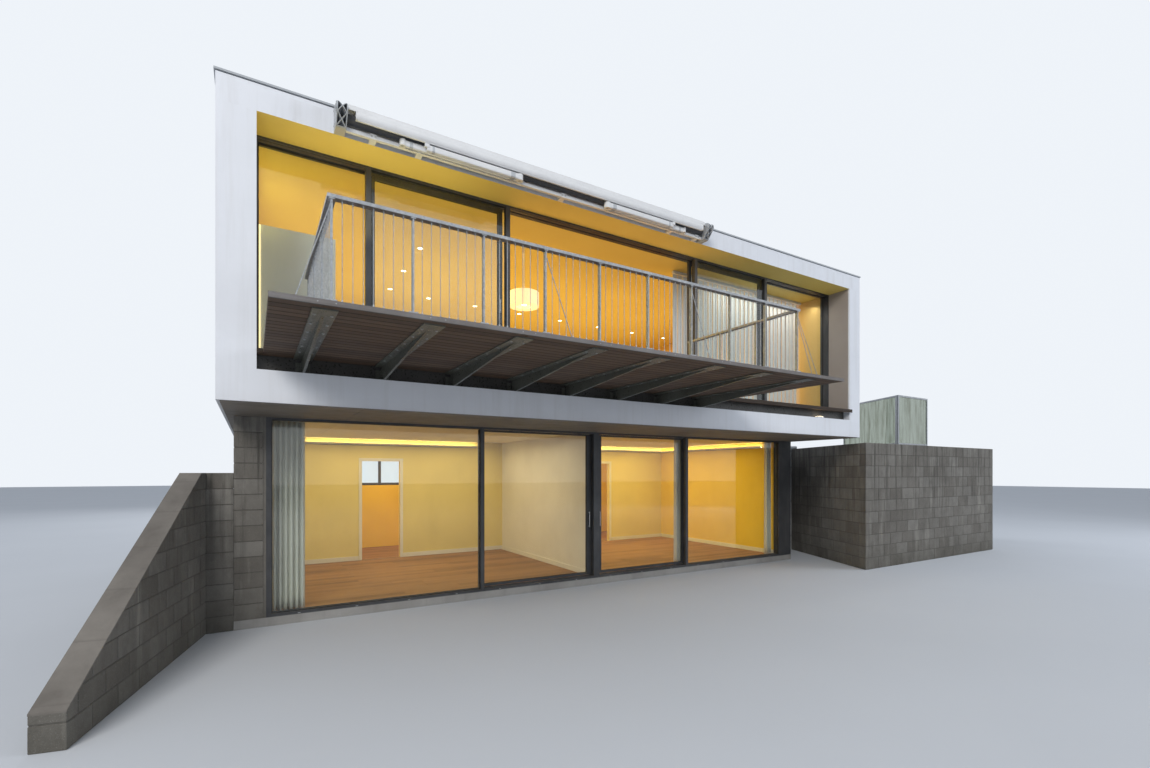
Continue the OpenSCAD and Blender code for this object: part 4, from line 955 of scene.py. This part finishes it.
sills = Pile()
for x, half, foot, head in REAR_WINDOWS:
    x0, y0 = x - half, REAR - REVEAL
    sills.prism([(x0, y0, foot), (x0, REAR, foot), (x0, REAR, foot + 0.004), (x0, y0, foot + 0.012)],
                (2 * half, 0, 0))
    sills.box((x0, y0, head - 0.006), (x + half, REAR - 0.002, head), 0.001)
sills.piece("rear_sills", "charcoal")


# Balcony ironmongery

RAIL_Y, Z_RAIL = middle("front_balustrade", "Y"), BOX["front_balustrade"][1][2]
PITCH, SIDE_PITCH, BARS = 0.578, 0.62, 8
POSTS = [-4.51 + PITCH * i for i in range(10)]
UP, DOWN, FORWARD = (0, 0, 1), (0, 0, -1), (0, -1, 0)
irons = Pile()


def foot_bolts(x, y, out=0.024):
    """Four bolts through the plate at a post's foot."""
    for dx, dy in product((-out, out), repeat=2):
        irons.bolt((x + dx, y + dy, Z_DECK + 0.008), UP, 0.006, 0.005)


def sleeves(x, y):
    """The two ends of a baluster."""
    for z0, z1 in ((Z_DECK, Z_DECK + 0.022), (Z_RAIL - 0.044, Z_RAIL - 0.026)):
        irons.rod((x, y, z0), (x, y, z1), 0.0062, 10)


for x in POSTS:
    foot_bolts(x, RAIL_Y)
    irons.box((x - 0.02, RAIL_Y - 0.026, Z_RAIL - 0.034), (x + 0.02, RAIL_Y + 0.026, Z_RAIL - 0.026), 0.001)
    irons.bolt((x, RAIL_Y - 0.018, Z_RAIL - 0.05), FORWARD, 0.005, 0.005, washer=False)
for x, k in product(POSTS[:-1], range(1, BARS)):
    sleeves(x + k * PITCH / BARS, RAIL_Y)
for x in (POSTS[0], POSTS[-1]):
    for i in range(1, 4):
        foot_bolts(x, RAIL_Y + SIDE_PITCH * i)
    for i, k in product(range(3), range(1, BARS)):
        sleeves(x, RAIL_Y + SIDE_PITCH * (i + k / BARS))
irons.piece("balustrade_fixings", "satin")

edge_y, edge_z = BOX["balcony_edge_board"][0][1:]
BOLT_OUT = 0.06
coach = Pile()
for x in OUTRIGGERS:
    for dx in (-BOLT_OUT, BOLT_OUT):
        coach.bolt((x + dx, edge_y + 0.0005, middle("balcony_edge_board", "Z")), FORWARD, 0.0045, 0.0008,
                   washer=False)
    for k, dx in product(range(6), (-BOLT_OUT, BOLT_OUT)):
        coach.bolt((x + dx, -6.3 + 0.29 * k, edge_z - 0.012), DOWN, 0.008)
coach.piece("outrigger_bolts", "galvanised")
BEAM_Y, CLEAT_T = -4.43, 0.01
CLEAT_Z = (Z_BAND + 0.012, Z_BAND + 0.118)
cleats = Pile()
for x, s in product(OUTRIGGERS, BOTH):
    for wide, y0, y1 in ((0.07, BEAM_Y - CLEAT_T, BEAM_Y), (0.02, BEAM_Y - 0.075, BEAM_Y - CLEAT_T)):
        cleats.box((x + s * 0.012, y0, CLEAT_Z[0]), (x + s * wide, y1, CLEAT_Z[1]), 0.001)
    for z in (Z_BAND + 0.035, Z_BAND + 0.095):
        cleats.bolt((x + s * 0.045, BEAM_Y - CLEAT_T, z), FORWARD, height=0.007)
        cleats.bolt((x + s * 0.02, BEAM_Y - 0.045, z), (s, 0, 0), height=0.007)
cleats.piece("outrigger_cleats", "outrigger")


# Awning details

B_LO, B_HI = BOX["awning_end_brackets"]
BAR_LO, BAR_HI = BOX["awning_front_bar"]
lo, hi = BOX["awning_roller"]
ROLL_Y, ROLL_Z, ROLL_R = (lo[1] + hi[1]) / 2, (lo[2] + hi[2]) / 2, (hi[2] - lo[2]) / 2
CLOTH, STEPS = 0.0022, 40
ring = []
for i in range(1, STEPS + 1):
    t, r = 2 * math.pi * i / STEPS, ROLL_R - CLOTH * (1 - i / STEPS)
    ring.append((lo[0], ROLL_Y + r * math.cos(t), ROLL_Z + r * math.sin(t)))
roll = Pile()
roll.prism(ring, (hi[0] - lo[0], 0, 0))
tail_y, tail_z = BAR_HI[1] - 0.006, (BAR_LO[2] + BAR_HI[2]) / 2
lip_y, lip_z = ROLL_Y - ROLL_R * 0.94, ROLL_Z - ROLL_R * 0.33
x0, x1 = BAR_LO[0] + 0.015, BAR_HI[0] - 0.015
roll.prism([(x0, lip_y, lip_z), (x0, tail_y, tail_z - 0.002), (x0, tail_y, tail_z + 0.0005),
            (x0, lip_y, lip_z + 0.003)], (x1 - x0, 0, 0))
roll.piece("awning_canvas_roll", "canvas", replaces="awning_roller", smooth=True)

nose_y, nose_z = B_LO[1] + 0.058, B_LO[2] + 0.162
RIM_STEPS, RIM = 24, 0.006
ribs = Pile()
for x, out in ((B_LO[0], -1), (B_HI[0], 1)):
    for radius, i in product((0.054, 0.032), range(RIM_STEPS)):
        p = [(x, nose_y + r * math.cos(t), nose_z + r * math.sin(t))
             for t in (2 * math.pi * i / RIM_STEPS, 2 * math.pi * (i + 1) / RIM_STEPS)
             for r in (radius, radius - RIM)]
        ribs.prism([p[0], p[2], p[3], p[1]], (out * 0.004, 0, 0))
    nose = Vector((x, nose_y, nose_z))
    for t in (0.5, 1.55, 2.6, 3.65, 4.7, 5.75):
        ray = Vector((0, math.cos(t), math.sin(t)))
        ribs.rod(nose + ray * 0.03, nose + ray * 0.05, 0.0035, 6)
    ribs.bolt(nose, (out, 0, 0), 0.012, 0.008)
    for y, z in ((FRONT - 0.03, B_LO[2] + 0.06), (FRONT - 0.03, B_HI[2] - 0.05), (FRONT - 0.1, B_LO[2] + 0.05)):
        ribs.bolt((x, y, z), (out, 0, 0), 0.008)
ribs.piece("awning_bracket_ribs", "cast")

ARM_Z, ARM_Y, OUTER_Y = Z_CEILING + 0.043, FRONT - 0.145, FRONT - 0.19
ARM_HALF_Y, ARM_HALF_Z = 0.0215, 0.0395
SHOULDERS = (B_LO[0] + 0.68, B_HI[0] - 0.5)
arms = Pile()
for s, shoulder in zip((1, -1), SHOULDERS):
    elbow = shoulder + s * 1.4
    for x, y, half in ((shoulder, ARM_Y, 0.037), (elbow, (ARM_Y + OUTER_Y) / 2, 0.0395)):
        arms.rod((x, y, ARM_Z - half), (x, y, ARM_Z + half), 0.016, 16)
    for at, a, b, y in ((shoulder, 0.06, 0.12, ARM_Y), (elbow, -0.14, -0.06, ARM_Y),
                        (elbow, -0.14, -0.06, OUTER_Y), (elbow, -1.05, -1.1, OUTER_Y)):
        arms.box((at + s * a, y - ARM_HALF_Y, ARM_Z - ARM_HALF_Z),
                 (at + s * b, y + ARM_HALF_Y, ARM_Z + ARM_HALF_Z), 0.013)
arms.piece("awning_arm_collars", "cast")
clamps = Pile()
for x, dx in product((SHOULDERS[0] - 0.3, SHOULDERS[0] + 0.2, B_LO[0] + 2.74, SHOULDERS[1] - 0.2,
                      SHOULDERS[1] + 0.3), (-0.02, 0.02)):
    clamps.bolt((x + dx, FRONT - 0.118, Z_CEILING + 0.028), FORWARD, 0.007, 0.004)
clamps.piece("awning_clamp_bolts", "satin")
CAP_T, CAP_OUT = 0.012, 0.001
caps = Pile()
for x in (BAR_LO[0], BAR_HI[0] - CAP_T):
    caps.box((x, BAR_LO[1] - CAP_OUT, BAR_LO[2] - CAP_OUT),
             (x + CAP_T, BAR_HI[1] + CAP_OUT, BAR_HI[2] + CAP_OUT), 0.004)
caps.box((BAR_LO[0] + 0.02, BAR_LO[1] + 0.017, BAR_LO[2] - 0.004),
         (BAR_HI[0] - 0.02, BAR_LO[1] + 0.025, BAR_LO[2] + 0.004), 0.002)
caps.piece("awning_bar_caps", "enamel")


# Upper room: lamp, blinds and ceiling lights

LAMP = Vector((middle("pendant_lamp", "X"), middle("pendant_lamp", "Y"), 0))
SHADE_R, WIRE_R, WIRE = 0.2345, 0.231, 0.002
lamp_z0 = BOX["pendant_lamp"][0][2]
lamp_z1 = lamp_z0 + 0.22


def lamp_at(radius, turn, z):
    return LAMP + Vector((radius * math.cos(turn), radius * math.sin(turn), z))


lamp = Pile()
lamp.drum(LAMP.x, LAMP.y, lamp_z0, lamp_z1, SHADE_R)
lamp.drum(LAMP.x, LAMP.y, lamp_z0, lamp_z1 - 0.03, 0.13)
WIRE_STEP = 2 * math.pi / 32
for z, i in product((lamp_z0 + WIRE, lamp_z1 - WIRE), range(32)):
    lamp.rod(lamp_at(WIRE_R, WIRE_STEP * i, z), lamp_at(WIRE_R, WIRE_STEP * (i + 1), z), WIRE, 6, kind=1)
for turn in turns(3):
    lamp.rod(lamp_at(0, 0, lamp_z1 - 0.02), lamp_at(0.23, turn, lamp_z1 - 0.004), WIRE, 6, kind=1)
for z0, z1, radius, sides, kind in ((lamp_z0 + 0.05, Z_CEILING, 0.006, 12, 1),
                                    (Z_CEILING - 0.025, Z_CEILING, 0.055, 32, 1),
                                    (lamp_z0 + 0.03, lamp_z0 + 0.09, 0.035, 20, 2)):
    lamp.rod(lamp_at(0, 0, z0), lamp_at(0, 0, z1), radius, sides, kind=kind)
lamp.piece("pendant_shade", "shade enamel warm_lamp", replaces="pendant_lamp", smooth=True)

lo, hi = BOX["upper_blinds"]
BLIND_Y = middle("upper_blinds", "Y")
SLAT, SLAT_PITCH, SLAT_SIDE, SLAT_T, SLAT_BOW = 0.127, 0.122, 0.059, 0.0006, 0.01
slat_x0 = MULLIONS[2] + HALF + SLAT_SIDE
blinds = Pile()
blinds.box((lo[0], BLIND_Y - 0.022, hi[2] - 0.044), (hi[0], BLIND_Y + 0.022, hi[2]), 0.003, kind=1)
slat = 0
while slat_x0 + slat * SLAT_PITCH + SLAT_SIDE <= hi[0]:
    x = slat_x0 + slat * SLAT_PITCH
    turn = math.radians(8) + RNG.uniform(-0.05, 0.05)
    along = Vector((math.cos(turn), math.sin(turn), 0))
    normal = Vector((-math.sin(turn), math.cos(turn), 0))
    face = [Vector((x, BLIND_Y, 0)) + along * part * SLAT + normal * SLAT_BOW * (0.25 - part * part)
            for part in [k / 6 - 0.5 for k in range(7)]]
    ring = [p - normal * SLAT_T for p in face] + [p + normal * SLAT_T for p in face[::-1]]
    z0, z1 = Z_DECK + 0.017 + RNG.uniform(0, 0.004), hi[2] - 0.052
    blinds.prism([(p.x, p.y, z0) for p in ring], (0, 0, z1 - z0))
    blinds.rod((x, BLIND_Y, z1 - 0.005), (x, BLIND_Y, hi[2] - 0.042), 0.004, 6, kind=1)
    slat += 1
blinds.piece("blind_slats", "blind enamel", replaces="upper_blinds")

DOWNLIGHTS = [(-2.7, -2.12), (-2.7, -1.01), (-2.7, 0.08)]
DOWNLIGHTS += [(x, 0.25) for x in (-1.9, -0.9, 0.15, 1.2, 2.27, 3.31, 4.35)]
rims = Pile()
for x, y in DOWNLIGHTS:
    rims.drum(x, y, Z_CEILING - 0.006, Z_CEILING, 0.052, wall=0.012, sides=32)
    rims.rod((x, y, Z_CEILING - 0.0025), (x, y, Z_CEILING), 0.041, 28, kind=1)
rims.piece("downlights", "enamel warm_lamp", smooth=True)

# Coves: a shelf, a lip towards the room and the lit strip between lip and wall
COVE, LIP, COVE_T, COVE_H = 0.05, 0.008, 0.012, 0.05
cz = Z_LINING - 0.13
coves = Pile()
for x0, x1, y0 in ((-4.12, -0.62, Y_PARTITION - COVE), (0.6, LOW_IN - COVE, Y_PARTITION - COVE),
                   (LOW_IN - COVE, LOW_IN, -2.55)):
    y1 = Y_PARTITION
    across_room = x1 - x0 > 1
    lip_hi = (x1, y0 + LIP) if across_room else (x0 + LIP, y1)
    lit = (0.01, 0.012, 0.01, LIP) if across_room else (0.012, 0.01, LIP, 0.01)
    coves.box((x0, y0, cz), (x1, y1, cz + COVE_T), 0.001)
    coves.box((x0, y0, cz), (*lip_hi, cz + COVE_H), 0.001)
    coves.box((x0 + lit[0], y0 + lit[1], cz + COVE_T), (x1 - lit[2], y1 - lit[3], cz + 2 * COVE_T), kind=1)
coves.piece("led_coves", "lining cove")
(x, y, _), (_, _, top) = BOX["upper_low_partition"]
glow = Pile()
glow.box((x + 0.002, y - 0.012, Z_DECK + 0.02), (x + 0.046, y, top - 0.01), 0.002, kind=1)
glow.box((4.02, FRONT + 0.03, Z_BAND), (4.2, FRONT + 0.1, Z_BAND + 0.028), 0.003)
glow.box((4.03, FRONT + 0.04, Z_BAND + 0.028), (4.19, FRONT + 0.09, Z_BAND + 0.031), kind=2)
glow.piece("accent_lights", "enamel accent warm_lamp")


# Bedroom curtains: gathered cloth in even folds

CURTAIN_Y = middle("bedroom_curtains", "Y")
HEM_Z, TRACK_Z = BOX["bedroom_curtains"][0][2], BOX["bedroom_curtain_tracks"][0][2]
FOLD_DEPTH, FOLD_STEPS, CLOTH_ROWS = 0.066, 16, 14


def ripple(name, middle, wide, folds):
    """A gathered curtain as one sheet, its folds easing towards the hem."""
    steps = folds * FOLD_STEPS
    points = []
    for r in range(CLOTH_ROWS + 1):
        drop = r / CLOTH_ROWS
        swing = FOLD_DEPTH / 2 * (0.82 + 0.18 * drop)
        for i in range(steps + 1):
            u = i / steps
            phase = 2 * math.pi * folds * u
            sway = 0.004 * math.sin(3.1 * u * folds + 2 * drop)
            points.append((middle + wide * (u - 0.5) + 0.006 * math.sin(2 * phase),
                           CURTAIN_Y + swing * math.cos(phase) + sway * drop,
                           TRACK_Z + (HEM_Z - TRACK_Z) * drop))
    starts = [r * (steps + 1) + i for r in range(CLOTH_ROWS) for i in range(steps)]
    mesh = bpy.data.meshes.new(name)
    mesh.from_pydata(points, [], [[a, a + 1, a + steps + 2, a + steps + 1] for a in starts])
    mesh.materials.append(LOOKS["curtain"])
    mesh.shade_smooth()
    cloth = placed(name, mesh)
    thick = cloth.modifiers.new("thickness", "SOLIDIFY")
    thick.thickness, thick.offset = 0.0016, 0
    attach(cloth, "house")
    return cloth


first = ripple("curtain_1", -4.592, 0.385, 6)
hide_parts("bedroom_curtains")
ripple("curtain_2", 2.15, 0.256, 4)
ripple("curtain_3", 4.715, 0.17, 3)


# Downpipe clips and the screen's feet

PIPE_S = 2.88
centre = skewed(0, PIPE_S) + Vector((-math.cos(SKEW), math.sin(SKEW))) * 0.0375
clips = Pile()
for z in (0.35, 1.2, 2.05):
    clips.drum(centre.x, centre.y, z - 0.015, z + 0.015, 0.0395, wall=0.0025, sides=28)
    clips.rod((centre.x, centre.y, z), (*skewed(0.01, PIPE_S), z), 0.006, 8)
clips.drum(centre.x, centre.y, 2.42, 2.48, 0.041, wall=0.004, sides=28)
clips.piece("pipe_clips", "galvanised", smooth=True)

SCREEN_X, PLATE_T = 1.25, 0.008
plate_z = TERRACE_H + PLATE_T
feet = Pile()
for x in (SCREEN_X + 0.05, SCREEN_X + 1.14):
    p = skewed(x, 0.077)
    feet.box((p.x - 0.045, p.y - 0.015, TERRACE_H), (p.x + 0.045, p.y + 0.075, plate_z), 0.0015)
    for dx in (-0.03, 0.03):
        feet.bolt((p.x + dx, p.y + 0.055, plate_z), UP, 0.007)
for s in (0.3, 1, 1.85):
    p = skewed(SCREEN_X + 0.017, s)
    feet.box((p.x + 0.005, p.y - 0.04, TERRACE_H), (p.x + 0.095, p.y + 0.04, plate_z), 0.0015)
    feet.bolt((p.x + 0.07, p.y, plate_z), UP, 0.007)
feet.piece("screen_feet", "galvanised")


# World, floor, lamps and camera

world = bpy.data.worlds.new("studio")
bpy.context.scene.world = world
world.use_nodes = True
sky = Graph(world.node_tree)
plain = sky.tree.nodes["Background"]
plain.inputs[0].default_value = (0.8, 0.88, 1, 1)
plain.inputs[1].default_value = 0.5
pale = sky.add("Background", {0: (0.86, 0.9, 0.95), 1: 1})
path = sky.add("LightPath").outputs
seen = path["Is Camera Ray"]
for name in ("Is Glossy Ray", "Is Transmission Ray"):
    seen = sky.math("MAXIMUM", seen, path[name])
both = sky.add("MixShader", {0: seen, 1: plain.outputs[0], 2: pale.outputs[0]})
sky.tree.links.new(both.outputs[0], sky.tree.nodes["World Output"].inputs[0])

half, z = 90, -0.002
floor_mesh = bpy.data.meshes.new("studio_floor")
floor_mesh.from_pydata([(-half, -half, z), (half, -half, z), (half, half, z), (-half, half, z)], [],
                       [[0, 1, 2, 3]])
floor = placed("studio_floor", floor_mesh)
floor_look = Look("studio_floor", rough=0.9)
floor_shade = floor_look.blend(floor_look.noise(0.4, 4), (0.6, 0.62, 0.65), (0.62, 0.64, 0.67))
floor_look.wire(floor_shade, "Base Color")
floor_mesh.materials.append(floor_look.mat)

# Lamps: name, place, aim, size, power and colour
YELLOW, ORANGE, CREAM = (1, 0.86, 0.4), (1, 0.68, 0.28), (1, 0.8, 0.44)
for name, at, aim, size, power, colour in (
        ("key", (-16, -22, 15), (0, 0, 3), (10, 10), 3900, (1, 0.98, 0.95)),
        ("fill", (18, -16, 8), (1, 0, 3), (9, 9), 1250, (0.88, 0.93, 1)),
        ("back", (0, 22, 14), (0, 0, 3), (12, 8), 1700, (0.95, 0.97, 1)),
        ("upper_room_left", (-3, -0.7, 5.4), (-3, -0.7, 0), (3.2, 5), 165, YELLOW),
        ("upper_room_right", (2, -0.7, 5.4), (2, -0.7, 0), (5.2, 5), 115, ORANGE),
        ("upper_room_up", (0, -0.6, 3.9), (0, -0.6, 6), (8, 4), 112, (1, 0.8, 0.34)),
        ("soffit_left", (-3.7, -4.38, 4.6), (-3.7, -4.38, 6), (2.2, 0.2), 9, YELLOW),
        ("soffit_middle", (0, -4.38, 4.6), (0, -4.38, 6), (4, 0.2), 5, ORANGE),
        ("partition_wash", (-4.35, -3, 5.35), (-4.6, -3.3, 4), (0.7, 0.15), 20, (1, 0.93, 0.75)),
        ("blind_wash", (3.6, -3.8, 5.35), (3.6, -3.52, 4), (2.6, 0.15), 12, (1, 0.95, 0.86)),
        ("left_bedroom", (-2.4, -0.9, 2.5), (-2.4, -0.9, 0), (4, 3), 72, CREAM),
        ("right_bedroom", (2.4, -0.9, 2.5), (2.4, -0.9, 0), (4, 3), 92, (1, 0.74, 0.23)),
        ("rear_rooms", (0, 1.9, 2.5), (0, 1.9, 0), (8, 1.2), 90, (1, 0.7, 0.33))):
    data = bpy.data.lights.new(name, "AREA")
    data.shape, data.size, data.size_y, data.energy, data.color = "RECTANGLE", *size, power, colour
    light = placed(name, data)
    light.location = at
    light.rotation_euler = (Vector(aim) - Vector(at)).to_track_quat("-Z", "Y").to_euler()
    light.visible_camera = light.visible_glossy = light.visible_transmission = False

# The camera of the photo: level, with its upright lines kept upright by the shift
camera_data = bpy.data.cameras.new("camera")
camera_data.lens, camera_data.sensor_width = 16.75, 36
camera_data.shift_y, camera_data.clip_end = 0.0774, 400
camera = placed("camera", camera_data)
camera.location = (-4.997, -10.71, 1.904)
camera.rotation_euler = (math.radians(90), 0, math.radians(-31.1))
bpy.context.scene.camera = camera
bpy.context.scene.view_settings.view_transform = "Standard"
